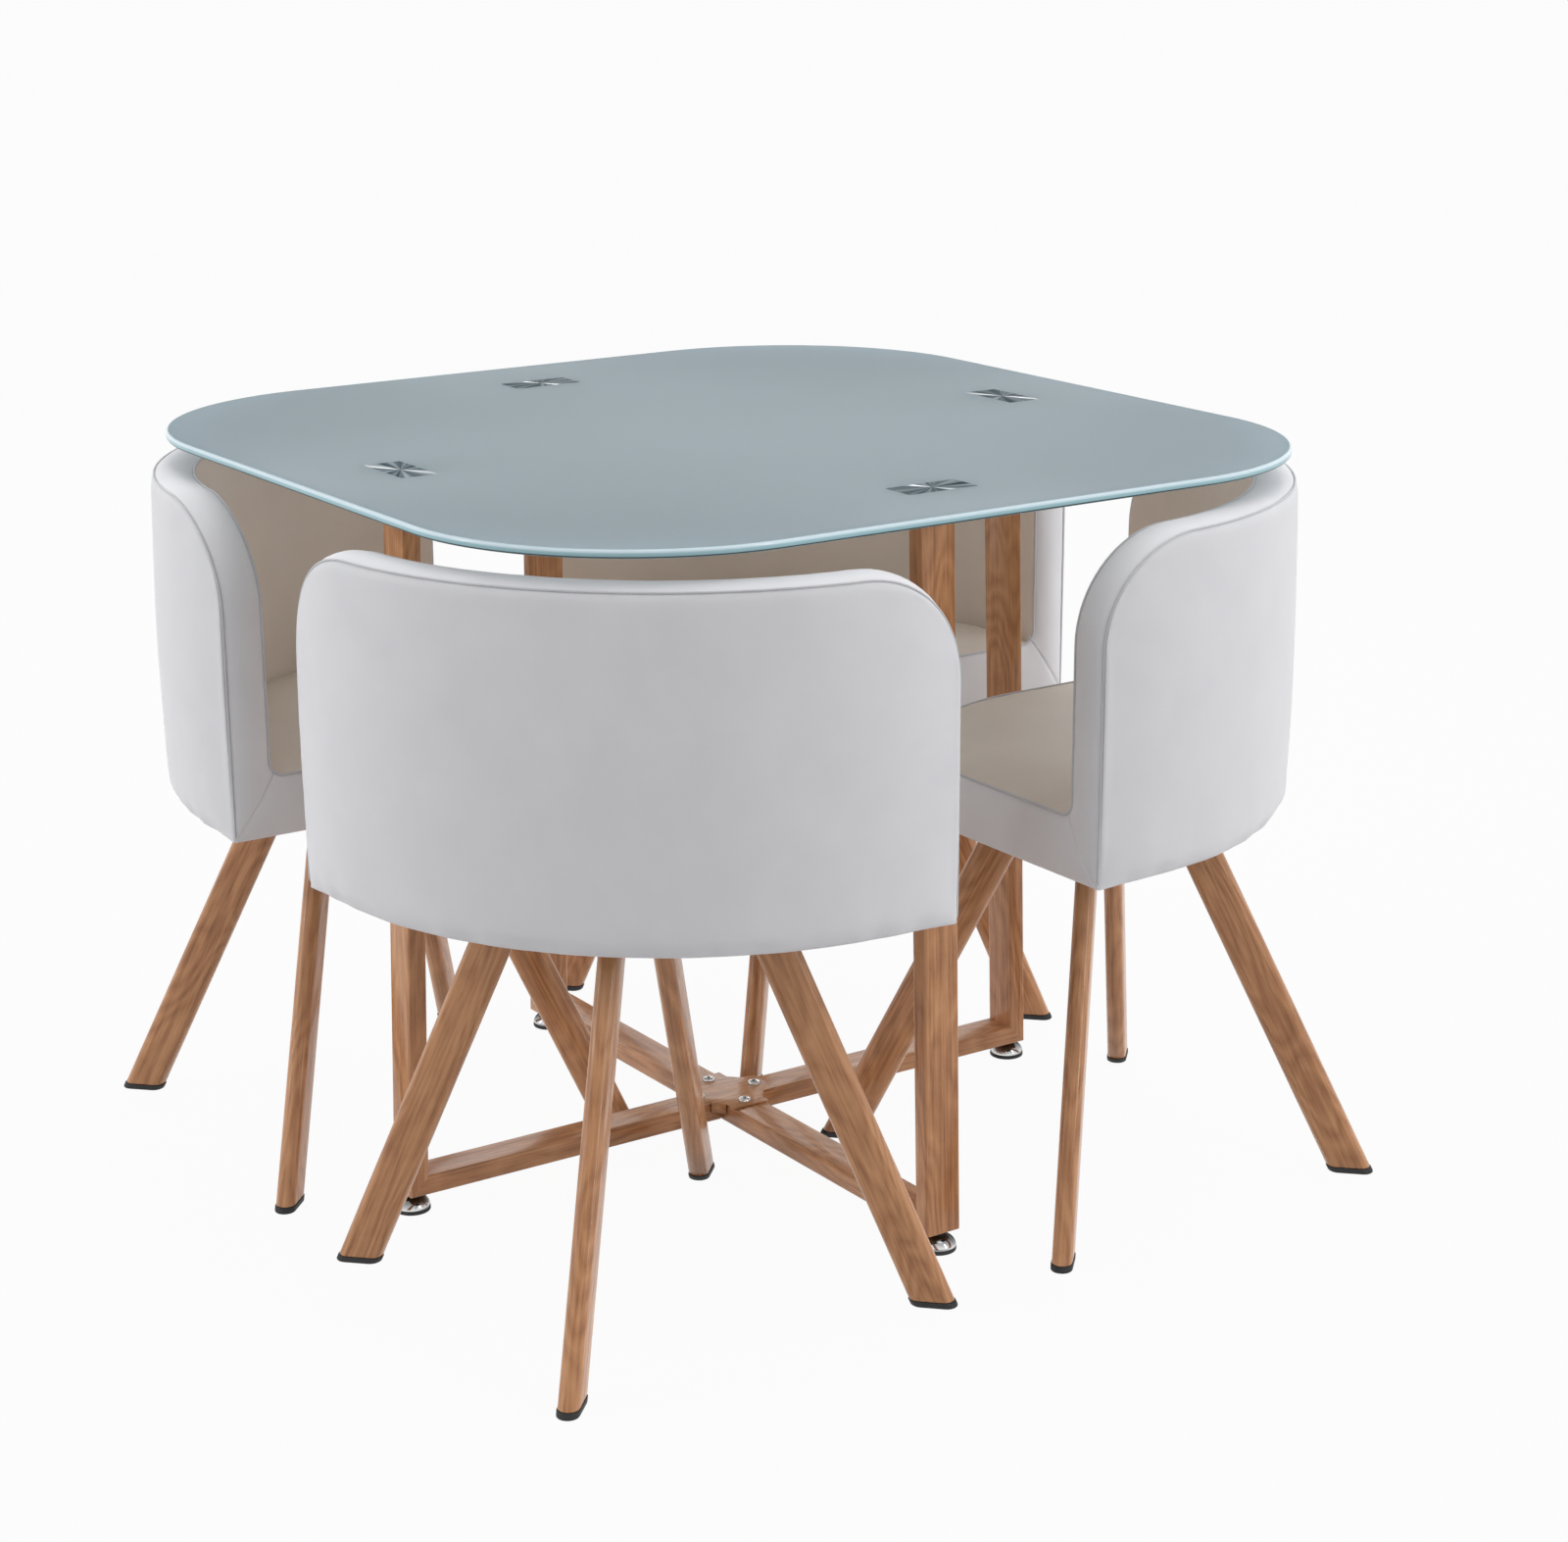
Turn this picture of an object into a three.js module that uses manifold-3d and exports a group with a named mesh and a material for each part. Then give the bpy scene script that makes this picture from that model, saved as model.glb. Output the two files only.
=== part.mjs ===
// Dining table with a rounded frosted-glass top and four bucket chairs that tuck in under it.
// Millimetres, +Z up. The origin is on the floor, under the middle of the table.
// The table's legs stand on the diagonals and the chairs on the X and Y axes.
import * as THREE from 'three';
import { mergeVertices } from 'three/addons/utils/BufferGeometryUtils.js';
import Module from 'manifold-3d';

const wasm = await Module();
wasm.setup();

// Driving sizes shared by the whole set
const tableHeight = 750;
const seatingGap = 0.3;
const cutOverrun = 5;

// Fineness of the small round forms, as straight steps
const roundBarSegments = 12;
const footSegments = 18;
const smallCornerSegments = 2;
const plateHoleSegments = 6;

// Glass top: a square with round corners, its straight sides square to the diagonals
const glassThickness = 8;
const glassAcross = 940;
const glassCornerRadius = 235;
const glassEdgeRadius = 2.5;
const glassCornerSegments = 12;

// Plates glued under the glass, one on each leg
const bondingPlateLength = 78;
const bondingPlateWidth = 38;
const bondingPlateThickness = 4;
const bondingPlateCornerRadius = 2;

// Leg frames of rectangular tube, the leg leaning out a little from top to foot
const frameTubeWidth = 40;
const frameTubeDepth = 20;
const frameTubeWall = 1.5;
const frameTubeCornerRadius = 2.5;
const legTopRadius = 357;
const legFootRadius = 377;
const barUnderside = 20;

// Centre plate with its corners folded down between the bars, and its screws
const centrePlateAcross = 96;
const centrePlateCornerReach = 39;
const centrePlateThickness = 2;
const centrePlateFlapDrop = 11;
const screwCircleRadius = 35;
const screwShankRadius = 2.9;
const screwHoleClearance = 0.4;
const screwHeadRadius = 6.5;
const screwHeadHeight = 3.6;
const screwLength = 14;
const screwRecessWidth = 1.8;
const screwRecessLength = 7;
const screwRecessDepth = 2;

// Levelling feet
const footRadius = 18.5;
const footRimHeight = 4;
const footRimStep = 0.6;
const footBellTopRadius = 7;
const footBellHeight = 12;
const footNeckRadius = 6;
const footStemRadius = 4;
const footStemLength = 24;
const footHoleClearance = 0.5;

// Chair: the plan is a wedge with a round nose towards the table, closed by the back's arc
const backArcRadius = 380;
const backProudOfGlass = 9;
const backThickness = 46;
const backTuckGap = 22;
const backCornerRadius = 108;
const backEdgeRadius = 9;
const outerPanelCrown = 3;
const innerPanelCrown = 5;
const seatToTableLeg = 56;
const seatNoseRadius = 240;
const seatSeamHeight = 450;
const seatSideHeight = 62;
const seatEdgeRadius = 7;
const seatCrown = 12;
const seatSideBelly = 1.5;

// Chair legs of flat-oval tube
const chairLegWidth = 40;
const chairLegDepth = 20;
const chairLegWall = 1.5;
const chairLegCentre = 391;
const sideFootSpread = 282;
const sideTopSpread = 116;
const foreFootSpread = 267;
const foreTopSpread = 78;
const flangeLength = 84;
const flangeWidth = 44;
const flangeThickness = 3;
const flangeCornerRadius = 8;
const flangeHoleInset = 9;
const flangeHoleRadius = 2.5;
const capHeight = 6;
const capLipProud = 0.8;
const capPlugLength = 18;
const capBaseEdgeRadius = 1.5;

// Worked-out places
const glassUnderside = tableHeight - glassThickness;
const glassTipRadius = (glassAcross / 2 - glassCornerRadius) * Math.SQRT2 + glassCornerRadius;
const bondingPlateUnderside = glassUnderside - seatingGap - bondingPlateThickness;
const legTop = bondingPlateUnderside - seatingGap;
const barTop = barUnderside + frameTubeDepth;
const barInnerEnd = frameTubeWidth / 2 + seatingGap;
const centrePlateUnderside = barTop + seatingGap;
const centrePlateTop = centrePlateUnderside + centrePlateThickness;
const backReach = glassTipRadius + backProudOfGlass;
const backArcCentre = backReach - backArcRadius;
const backTop = glassUnderside - backTuckGap;
const backInnerRadius = backArcRadius - backThickness;
const seatUnderside = seatSeamHeight - seatSideHeight;
const wedgeTip = (frameTubeWidth / 2 + seatToTableLeg) * Math.SQRT2;
const flangeUnderside = seatUnderside - seatingGap - flangeThickness;

// Names of the four table corners and the four chairs, by their turn about +Z from +X
const quarterTurn = Math.PI / 2;
const tableCorners = ['back_right', 'back_left', 'front_left', 'front_right'];
const chairNames = ['right_chair', 'back_chair', 'left_chair', 'front_chair'];

const frostedGlass = new THREE.MeshStandardMaterial({ color: 0x9baaaf, roughness: 0.35, metalness: 0 });
const polishedSteel = new THREE.MeshStandardMaterial({ color: 0xc4c6c8, roughness: 0.2, metalness: 1 });
const woodFilm = new THREE.MeshStandardMaterial({ color: 0x8f6a4c, roughness: 0.45, metalness: 0 });
const whiteLeather = new THREE.MeshStandardMaterial({ color: 0xe6e6e8, roughness: 0.5, metalness: 0 });
const blackRubber = new THREE.MeshStandardMaterial({ color: 0x1c1c1d, roughness: 0.8, metalness: 0 });

// Joins a list of point rings into one closed skin. Every ring has as many points as the next.
// The ends are closed by a flat fan, or, for a tube with a bore, the last ring joins the first.
function loftRings(rings, joinEnds = false) {
  const count = rings[0].length;
  const positions = [];
  const indices = [];
  rings.forEach((ring) => ring.forEach((p) => positions.push(p.x, p.y, p.z)));
  const bands = joinEnds ? rings.length : rings.length - 1;
  for (let band = 0; band < bands; band += 1) {
    const low = band * count;
    const high = ((band + 1) % rings.length) * count;
    for (let i = 0; i < count; i += 1) {
      const next = (i + 1) % count;
      indices.push(low + i, low + next, high + next);
      indices.push(low + i, high + next, high + i);
    }
  }
  if (!joinEnds) {
    const ends = [rings[0], rings[rings.length - 1]];
    ends.forEach((ring, end) => {
      const middle = new THREE.Vector3();
      ring.forEach((p) => middle.addScaledVector(p, 1 / count));
      const hub = positions.length / 3;
      positions.push(middle.x, middle.y, middle.z);
      const start = end === 0 ? 0 : (rings.length - 1) * count;
      for (let i = 0; i < count; i += 1) {
        const next = (i + 1) % count;
        if (end === 0) indices.push(hub, start + next, start + i);
        else indices.push(hub, start + i, start + next);
      }
    });
  }
  const geometry = new THREE.BufferGeometry();
  geometry.setAttribute('position', new THREE.Float32BufferAttribute(positions, 3));
  geometry.setIndex(indices);
  return geometry;
}

// A closed geometry as a solid that can be cut and joined
function toSolid(geometry) {
  const bare = geometry.clone();
  bare.deleteAttribute('normal');
  bare.deleteAttribute('uv');
  const merged = mergeVertices(bare);
  const vertProperties = new Float32Array(merged.attributes.position.array);
  const triVerts = new Uint32Array(merged.index.array);
  return new wasm.Manifold(new wasm.Mesh({ numProp: 3, vertProperties, triVerts }));
}

function toGeometry(solid) {
  const mesh = solid.getMesh();
  const geometry = new THREE.BufferGeometry();
  geometry.setAttribute('position', new THREE.Float32BufferAttribute(mesh.vertProperties, 3));
  geometry.setIndex(Array.from(mesh.triVerts));
  return geometry;
}

// An upright round bar on the X axis between two heights, which cuts the holes for stems and screws
function uprightBar(radius, bottom, top, x) {
  const bar = new THREE.CylinderGeometry(radius, radius, top - bottom, roundBarSegments);
  bar.rotateX(quarterTurn);
  bar.translate(x, 0, (top + bottom) / 2);
  return bar;
}

// A rectangle with round corners, as a list of points going anticlockwise
function roundedRectangle(length, width, radius, segmentsPerCorner) {
  const points = [];
  const quarters = [[1, -1], [1, 1], [-1, 1], [-1, -1]];
  quarters.forEach(([sx, sy], corner) => {
    for (let i = 0; i <= segmentsPerCorner; i += 1) {
      const angle = (corner - 1 + i / segmentsPerCorner) * quarterTurn;
      const x = sx * (length / 2 - radius) + radius * Math.cos(angle);
      const y = sy * (width / 2 - radius) + radius * Math.sin(angle);
      points.push(new THREE.Vector2(x, y));
    }
  });
  return points;
}

// A level plate between two heights, from an outline and round holes through it
function levelPlate(outline, bottom, thickness, holes = []) {
  const shape = new THREE.Shape(outline);
  holes.forEach(({ x, y, radius }) => {
    const hole = new THREE.Path();
    hole.absarc(x, y, radius, 0, 2 * Math.PI, true);
    shape.holes.push(hole);
  });
  const options = { depth: thickness, bevelEnabled: false, curveSegments: plateHoleSegments };
  const plate = new THREE.ExtrudeGeometry(shape, options);
  plate.translate(0, 0, bottom);
  return plate;
}

// Glass top with a pencil-round edge, made square to X and Y and then turned by an eighth
function makeGlassTop() {
  const half = glassAcross / 2;
  const outline = roundedRectangle(glassAcross, glassAcross, glassCornerRadius, glassCornerSegments);
  const shares = [[0, 1], [0.3, 0.3], [1, 0]];
  const rimRows = [];
  shares.forEach(([up, inset]) => rimRows.push([up * glassEdgeRadius, inset * glassEdgeRadius]));
  shares.slice().reverse().forEach(([up, inset]) => {
    rimRows.push([glassThickness - up * glassEdgeRadius, inset * glassEdgeRadius]);
  });
  const rings = rimRows.map(([height, inset]) => outline.map((p) => {
    const scale = (half - inset) / half;
    return new THREE.Vector3(p.x * scale, p.y * scale, glassUnderside + height);
  }));
  return loftRings(rings).rotateZ(quarterTurn / 2);
}

function makeBondingPlate() {
  const outline = roundedRectangle(
    bondingPlateWidth,
    bondingPlateLength,
    bondingPlateCornerRadius,
    smallCornerSegments,
  );
  return levelPlate(outline, bondingPlateUnderside, bondingPlateThickness).translate(legTopRadius, 0, 0);
}

// One leg and its half of the cross bar, standing on +X: a tube mitred at the foot.
// 'across' runs from the outer face inwards, and becomes height along the bar.
function frameTubeRing(inset, place) {
  const depth = frameTubeDepth - 2 * inset;
  const width = frameTubeWidth - 2 * inset;
  const radius = frameTubeCornerRadius - inset;
  const section = roundedRectangle(depth, width, radius, smallCornerSegments);
  return section.map((p) => place(frameTubeDepth / 2 - p.x, p.y));
}

function makeTableLeg() {
  const reach = frameTubeDepth / 2;
  const atTop = (across, side) => new THREE.Vector3(legTopRadius + reach - across, side, legTop);
  const atMitre = (across, side) => {
    return new THREE.Vector3(legFootRadius + reach - across, side, barUnderside + across);
  };
  const atBarEnd = (across, side) => new THREE.Vector3(barInnerEnd, side, barUnderside + across);
  const places = [atBarEnd, atMitre, atTop];
  const outside = places.map((place) => frameTubeRing(0, place));
  const inside = places.map((place) => frameTubeRing(frameTubeWall, place)).reverse();
  const tube = toSolid(loftRings([...outside, ...inside], true));
  const stemHole = uprightBar(
    footStemRadius + footHoleClearance,
    barUnderside - cutOverrun,
    barUnderside + 2 * frameTubeWall,
    legFootRadius,
  );
  const screwHole = uprightBar(
    screwShankRadius + screwHoleClearance,
    barTop - frameTubeWall - cutOverrun,
    barTop + cutOverrun,
    screwCircleRadius,
  );
  return toGeometry(tube.subtract(toSolid(stemHole)).subtract(toSolid(screwHole)));
}

// Centre plate: a cross of four arms, one on each bar. The sheet between two arms is cut off
// straight and folded down there, so its corner face stands a little way off the two bars.
function makeCentrePlate() {
  const half = centrePlateAcross / 2;
  const armHalf = frameTubeWidth / 2 + centrePlateThickness;
  const armRoot = centrePlateCornerReach * Math.SQRT2 - armHalf;
  const quarter = [[armRoot, -armHalf], [half, -armHalf], [half, armHalf], [armRoot, armHalf]];
  const centre = new THREE.Vector2(0, 0);
  const top = [];
  for (let side = 0; side < 4; side += 1) {
    quarter.forEach(([x, y]) => top.push(new THREE.Vector2(x, y).rotateAround(centre, side * quarterTurn)));
  }
  let solid = toSolid(levelPlate(top, centrePlateUnderside, centrePlateThickness));
  const flapHalf = (armRoot - armHalf) / Math.SQRT2;
  const flapPlace = centrePlateCornerReach;
  const flapTop = centrePlateTop;
  const flapBottom = centrePlateTop - centrePlateFlapDrop;
  for (let corner = 0; corner < 4; corner += 1) {
    const flap = new THREE.BoxGeometry(centrePlateThickness, 2 * flapHalf, flapTop - flapBottom);
    flap.translate(flapPlace - centrePlateThickness / 2, 0, (flapTop + flapBottom) / 2);
    flap.rotateZ((corner + 0.5) * quarterTurn);
    solid = solid.add(toSolid(flap));
  }
  for (let corner = 0; corner < 4; corner += 1) {
    const hole = uprightBar(
      screwShankRadius + screwHoleClearance,
      centrePlateUnderside - cutOverrun,
      centrePlateTop + cutOverrun,
      screwCircleRadius,
    );
    hole.rotateZ(corner * quarterTurn);
    solid = solid.subtract(toSolid(hole));
  }
  return toGeometry(solid);
}

// Pan head screw standing at the screw circle on +X, with a cross recess
function makeCentreScrew() {
  const headBottom = centrePlateTop + seatingGap;
  const headTop = headBottom + screwHeadHeight;
  const domeShares = [[1, 0.35], [0.92, 0.7], [0.7, 0.93], [0, 1]];
  const profile = [
    new THREE.Vector2(0, headBottom - screwLength),
    new THREE.Vector2(screwShankRadius, headBottom - screwLength),
    new THREE.Vector2(screwShankRadius, headBottom),
    new THREE.Vector2(screwHeadRadius, headBottom),
  ];
  domeShares.forEach(([out, up]) => {
    profile.push(new THREE.Vector2(out * screwHeadRadius, headBottom + up * screwHeadHeight));
  });
  const body = new THREE.LatheGeometry(profile, roundBarSegments).rotateX(quarterTurn);
  const recessBottom = headTop - screwRecessDepth;
  const recessTop = headTop + cutOverrun;
  let solid = toSolid(body);
  [0, quarterTurn].forEach((turn) => {
    const slot = new THREE.BoxGeometry(screwRecessLength, screwRecessWidth, recessTop - recessBottom);
    slot.translate(0, 0, (recessTop + recessBottom) / 2);
    slot.rotateZ(turn);
    solid = solid.subtract(toSolid(slot));
  });
  return toGeometry(solid).translate(screwCircleRadius, 0, 0);
}

// Levelling foot: a rim on the floor, a bell above it, a neck under the bar and a stem inside it
function makeLevellingFoot() {
  const neckTop = barUnderside - seatingGap;
  const bellTop = footRimHeight + footBellHeight;
  const waistShare = 0.45;
  const waistRadius = footBellTopRadius + (footRadius - footBellTopRadius) * waistShare;
  const profile = [
    new THREE.Vector2(0, 0),
    new THREE.Vector2(footRadius - footRimStep, 0),
    new THREE.Vector2(footRadius, footRimStep),
    new THREE.Vector2(footRadius, footRimHeight - footRimStep),
    new THREE.Vector2(footRadius - footRimStep, footRimHeight),
    new THREE.Vector2(waistRadius, footRimHeight + footBellHeight * waistShare),
    new THREE.Vector2(footBellTopRadius, bellTop),
    new THREE.Vector2(footNeckRadius, bellTop),
    new THREE.Vector2(footNeckRadius, neckTop),
    new THREE.Vector2(footStemRadius, neckTop),
    new THREE.Vector2(footStemRadius, neckTop + footStemLength),
    new THREE.Vector2(0, neckTop + footStemLength),
  ];
  return new THREE.LatheGeometry(profile, footSegments).rotateX(quarterTurn).translate(legFootRadius, 0, 0);
}

// The chair is made in its place on +X. A plan point on the back's arc at an angle from +X:
function onArc(radius, angle, height) {
  const x = backArcCentre + radius * Math.cos(angle);
  return new THREE.Vector3(x, radius * Math.sin(angle), height);
}

// The angle at which an arc of this radius runs into the wedge's side plane, x - |y| = wedgeTip
function wedgeAngle(radius) {
  const offset = (wedgeTip - backArcCentre) / Math.SQRT2;
  return quarterTurn / 2 - Math.asin(offset / radius);
}

// Section of the back at one station: a rounded slab with a crown on both faces.
// 'along' runs from -1 to 1 between the ends, 'drop' lowers the top and 'inset' rounds the ends.
function backSection({ along, drop, inset }) {
  const top = backTop - drop - inset;
  const bottom = seatUnderside + inset;
  const cornerRadius = backEdgeRadius;
  const outer = backArcRadius - inset;
  const inner = backInnerRadius + inset;
  const points = [];
  const add = (radius, height) => points.push(onArc(radius, along * wedgeAngle(radius), height));
  const corner = (radius, height, fromAngle) => {
    for (let i = 0; i <= smallCornerSegments; i += 1) {
      const angle = fromAngle + i / smallCornerSegments * quarterTurn;
      add(radius + cornerRadius * Math.cos(angle), height + cornerRadius * Math.sin(angle));
    }
  };
  corner(outer - cornerRadius, bottom + cornerRadius, -quarterTurn);
  const outerShares = [0.25, 0.5, 0.75];
  outerShares.forEach((share) => {
    const height = bottom + share * (top - bottom);
    add(outer + outerPanelCrown * Math.sin(Math.PI * share) - outerPanelCrown, height);
  });
  corner(outer - cornerRadius, top - cornerRadius, 0);
  corner(inner + cornerRadius, top - cornerRadius, quarterTurn);
  const innerShares = [0.75, 0.4, 0];
  innerShares.forEach((share) => {
    const height = seatSeamHeight + share * (top - seatSeamHeight);
    add(inner - innerPanelCrown * Math.sin(Math.PI * share), height);
  });
  corner(inner + cornerRadius, bottom + cornerRadius, 2 * quarterTurn);
  return points;
}

// Stations along half of the back: a level stretch, then the rounded top corner, then the round end
function halfBackStations() {
  const halfLength = backArcRadius * wedgeAngle(backArcRadius);
  const levelHalf = halfLength - backCornerRadius;
  const cornerLength = backCornerRadius - backEdgeRadius;
  const stations = [];
  const levelSegments = 6;
  for (let i = 0; i < levelSegments; i += 1) {
    stations.push({ along: i / levelSegments * levelHalf / halfLength, drop: 0, inset: 0 });
  }
  const cornerSegments = 6;
  for (let i = 0; i <= cornerSegments; i += 1) {
    const angle = i / cornerSegments * quarterTurn;
    const place = levelHalf + cornerLength * Math.sin(angle);
    const drop = backCornerRadius * (1 - Math.cos(angle));
    stations.push({ along: place / halfLength, drop, inset: 0 });
  }
  const endSegments = 2;
  for (let i = 1; i <= endSegments; i += 1) {
    const angle = i / endSegments * quarterTurn;
    const place = levelHalf + cornerLength + backEdgeRadius * Math.sin(angle);
    const inset = backEdgeRadius * (1 - Math.cos(angle));
    stations.push({ along: place / halfLength, drop: backCornerRadius, inset });
  }
  return stations;
}

const firstHalf = halfBackStations().reverse();
const secondHalf = halfBackStations().slice(1).map((station) => ({ ...station, along: -station.along }));
const backStations = [...firstHalf, ...secondHalf];

function makeBackrest() {
  return loftRings(backStations.map(backSection));
}

// The seat's plan outline, anticlockwise: a round nose, two straight sides and the back's arc,
// which has its points at the back's own stations so that the two faces stay parallel
function seatOutline() {
  const arcRadius = backInnerRadius - seatingGap;
  const noseCentre = wedgeTip + seatNoseRadius * Math.SQRT2;
  const points = [];
  const noseSegments = 8;
  for (let i = 0; i <= noseSegments; i += 1) {
    const angle = Math.PI - quarterTurn / 2 + i / noseSegments * quarterTurn;
    const x = noseCentre + seatNoseRadius * Math.cos(angle);
    points.push(new THREE.Vector2(x, seatNoseRadius * Math.sin(angle)));
  }
  const end = wedgeAngle(arcRadius);
  const sideStart = points[points.length - 1].clone();
  const arcStart = onArc(arcRadius, -end, 0);
  const sideShares = [0.5, 0.93];
  sideShares.forEach((share) => {
    points.push(sideStart.clone().lerp(new THREE.Vector2(arcStart.x, arcStart.y), share));
  });
  backStations.slice().reverse().forEach(({ along }) => {
    const p = onArc(arcRadius, end * along, 0);
    points.push(new THREE.Vector2(p.x, p.y));
  });
  sideShares.slice().reverse().forEach((share) => {
    const p = sideStart.clone().lerp(new THREE.Vector2(arcStart.x, arcStart.y), share);
    points.push(new THREE.Vector2(p.x, -p.y));
  });
  return points;
}

// The seat: level underside, upright sides, a round seam edge and a crowned top
function makeSeat() {
  const outline = seatOutline();
  const middle = new THREE.Vector2((wedgeTip + backReach) / 2, 0);
  const size = backReach - middle.x;
  const ring = (inset, height) => outline.map((p) => {
    const scale = (size - inset) / size;
    const x = middle.x + (p.x - middle.x) * scale;
    return new THREE.Vector3(x, p.y * scale, height);
  });
  const rows = [
    [seatEdgeRadius, seatUnderside],
    [seatSideBelly, seatUnderside + seatEdgeRadius],
    [0, seatUnderside + seatSideHeight / 2],
    [seatSideBelly, seatSeamHeight - seatEdgeRadius],
    [seatEdgeRadius, seatSeamHeight],
  ];
  const rings = rows.map(([inset, height]) => ring(inset, height));
  const crownShares = [0.25, 0.55, 0.85];
  crownShares.forEach((share) => {
    const inset = seatEdgeRadius + share * (size - seatEdgeRadius);
    rings.push(ring(inset, seatSeamHeight + seatCrown * (1 - (1 - share) ** 2)));
  });
  return loftRings(rings);
}

// A flat-oval outline, long along X, as a list of points going anticlockwise
function flatOval(length, width) {
  const points = [];
  const radius = width / 2;
  const endSegments = 5;
  [1, -1].forEach((side) => {
    for (let i = 0; i <= endSegments; i += 1) {
      const angle = (i / endSegments - 0.5) * Math.PI;
      const x = side * (length / 2 - radius + radius * Math.cos(angle));
      points.push(new THREE.Vector2(x, side * radius * Math.sin(angle)));
    }
  });
  return points;
}

// A chair leg in its own plane: it leans along +X from its top to its foot.
// The tube is cut level at both ends, so its level section is longer by the lean's slope.
function legAxis(footSpread, topSpread) {
  const slope = (footSpread - topSpread) / flangeUnderside;
  return { at: (height) => footSpread - slope * height, stretch: Math.hypot(1, slope) };
}

function legRing(axis, inset, height) {
  const length = (chairLegWidth - 2 * inset) * axis.stretch;
  const width = chairLegDepth - 2 * inset;
  const centre = axis.at(height);
  return flatOval(length, width).map((p) => new THREE.Vector3(centre + p.x, p.y, height));
}

function makeChairLeg(footSpread, topSpread) {
  const axis = legAxis(footSpread, topSpread);
  const bottom = capHeight + seatingGap;
  const top = flangeUnderside + flangeThickness / 2;
  const rings = [
    legRing(axis, 0, bottom),
    legRing(axis, 0, top),
    legRing(axis, chairLegWall, flangeUnderside),
    legRing(axis, chairLegWall, bottom),
  ];
  const tube = toSolid(loftRings(rings, true));
  const outline = roundedRectangle(flangeLength, flangeWidth, flangeCornerRadius, smallCornerSegments);
  const holeX = flangeLength / 2 - flangeHoleInset;
  const holes = [-holeX, holeX].map((x) => ({ x, y: 0, radius: flangeHoleRadius }));
  const flange = levelPlate(outline, flangeUnderside, flangeThickness, holes);
  flange.translate(axis.at(flangeUnderside), 0, 0);
  return toGeometry(tube.add(toSolid(flange)));
}

// Rubber cap: a base that stands a little proud of the tube, and a plug that fits inside it
function makeLegCap(footSpread, topSpread) {
  const axis = legAxis(footSpread, topSpread);
  const plugInset = chairLegWall + seatingGap;
  const rings = [
    legRing(axis, capBaseEdgeRadius - capLipProud, 0),
    legRing(axis, -capLipProud, capBaseEdgeRadius),
    legRing(axis, -capLipProud, capHeight),
    legRing(axis, plugInset, capHeight),
    legRing(axis, plugInset, capHeight + capPlugLength),
  ];
  return loftRings(rings);
}

function namedMesh(name, geometry, material) {
  const mesh = new THREE.Mesh(geometry, material);
  mesh.name = name;
  return mesh;
}

const diningSet = new THREE.Group();

// Table
diningSet.add(namedMesh('glass_top', makeGlassTop(), frostedGlass));
const centrePlate = namedMesh('centre_plate', makeCentrePlate(), woodFilm);
centrePlate.rotation.z = quarterTurn / 2;
diningSet.add(centrePlate);

const tableParts = [
  ['bonding_plate', makeBondingPlate(), polishedSteel],
  ['table_leg', makeTableLeg(), woodFilm],
  ['centre_screw', makeCentreScrew(), polishedSteel],
  ['levelling_foot', makeLevellingFoot(), polishedSteel],
];
tableCorners.forEach((corner, i) => {
  const group = new THREE.Group();
  group.rotation.z = (i + 0.5) * quarterTurn;
  tableParts.forEach(([name, geometry, material]) => {
    group.add(namedMesh(`${name}_${corner}`, geometry, material));
  });
  diningSet.add(group);
});

// Chairs: each leg stands in the leg centre's frame, turned towards its own side
const backrest = makeBackrest();
const seat = makeSeat();
const legPlaces = [
  ['outer', 0, foreFootSpread, foreTopSpread],
  ['left', 1, sideFootSpread, sideTopSpread],
  ['inner', 2, foreFootSpread, foreTopSpread],
  ['right', 3, sideFootSpread, sideTopSpread],
];
chairNames.forEach((chair, i) => {
  const group = new THREE.Group();
  group.rotation.z = i * quarterTurn;
  group.add(namedMesh(`${chair}_backrest`, backrest, whiteLeather));
  group.add(namedMesh(`${chair}_seat`, seat, whiteLeather));
  legPlaces.forEach(([place, turns, footSpread, topSpread]) => {
    const legGroup = new THREE.Group();
    legGroup.position.x = chairLegCentre;
    legGroup.rotation.z = turns * quarterTurn;
    legGroup.add(namedMesh(`${chair}_${place}_leg`, makeChairLeg(footSpread, topSpread), woodFilm));
    legGroup.add(namedMesh(`${chair}_${place}_cap`, makeLegCap(footSpread, topSpread), blackRubber));
    group.add(legGroup);
  });
  diningSet.add(group);
});

export default diningSet;
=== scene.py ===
# %% [markdown]
# # A dining table with four chairs that tuck in under it
# A frosted glass top stands on a crossed frame of wood-look steel tube. Four upholstered chairs
# wrap round it. The solids of the set are already built elsewhere at their real size, so this
# script dresses them: it makes the fine surfaces that a camera sees, and the light and the camera.
# Everything is in metres, with Z up and the origin on the floor under the middle of the table.

import math

import bmesh
import bpy
import numpy as np
from mathutils import Matrix, Vector, noise


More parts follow.
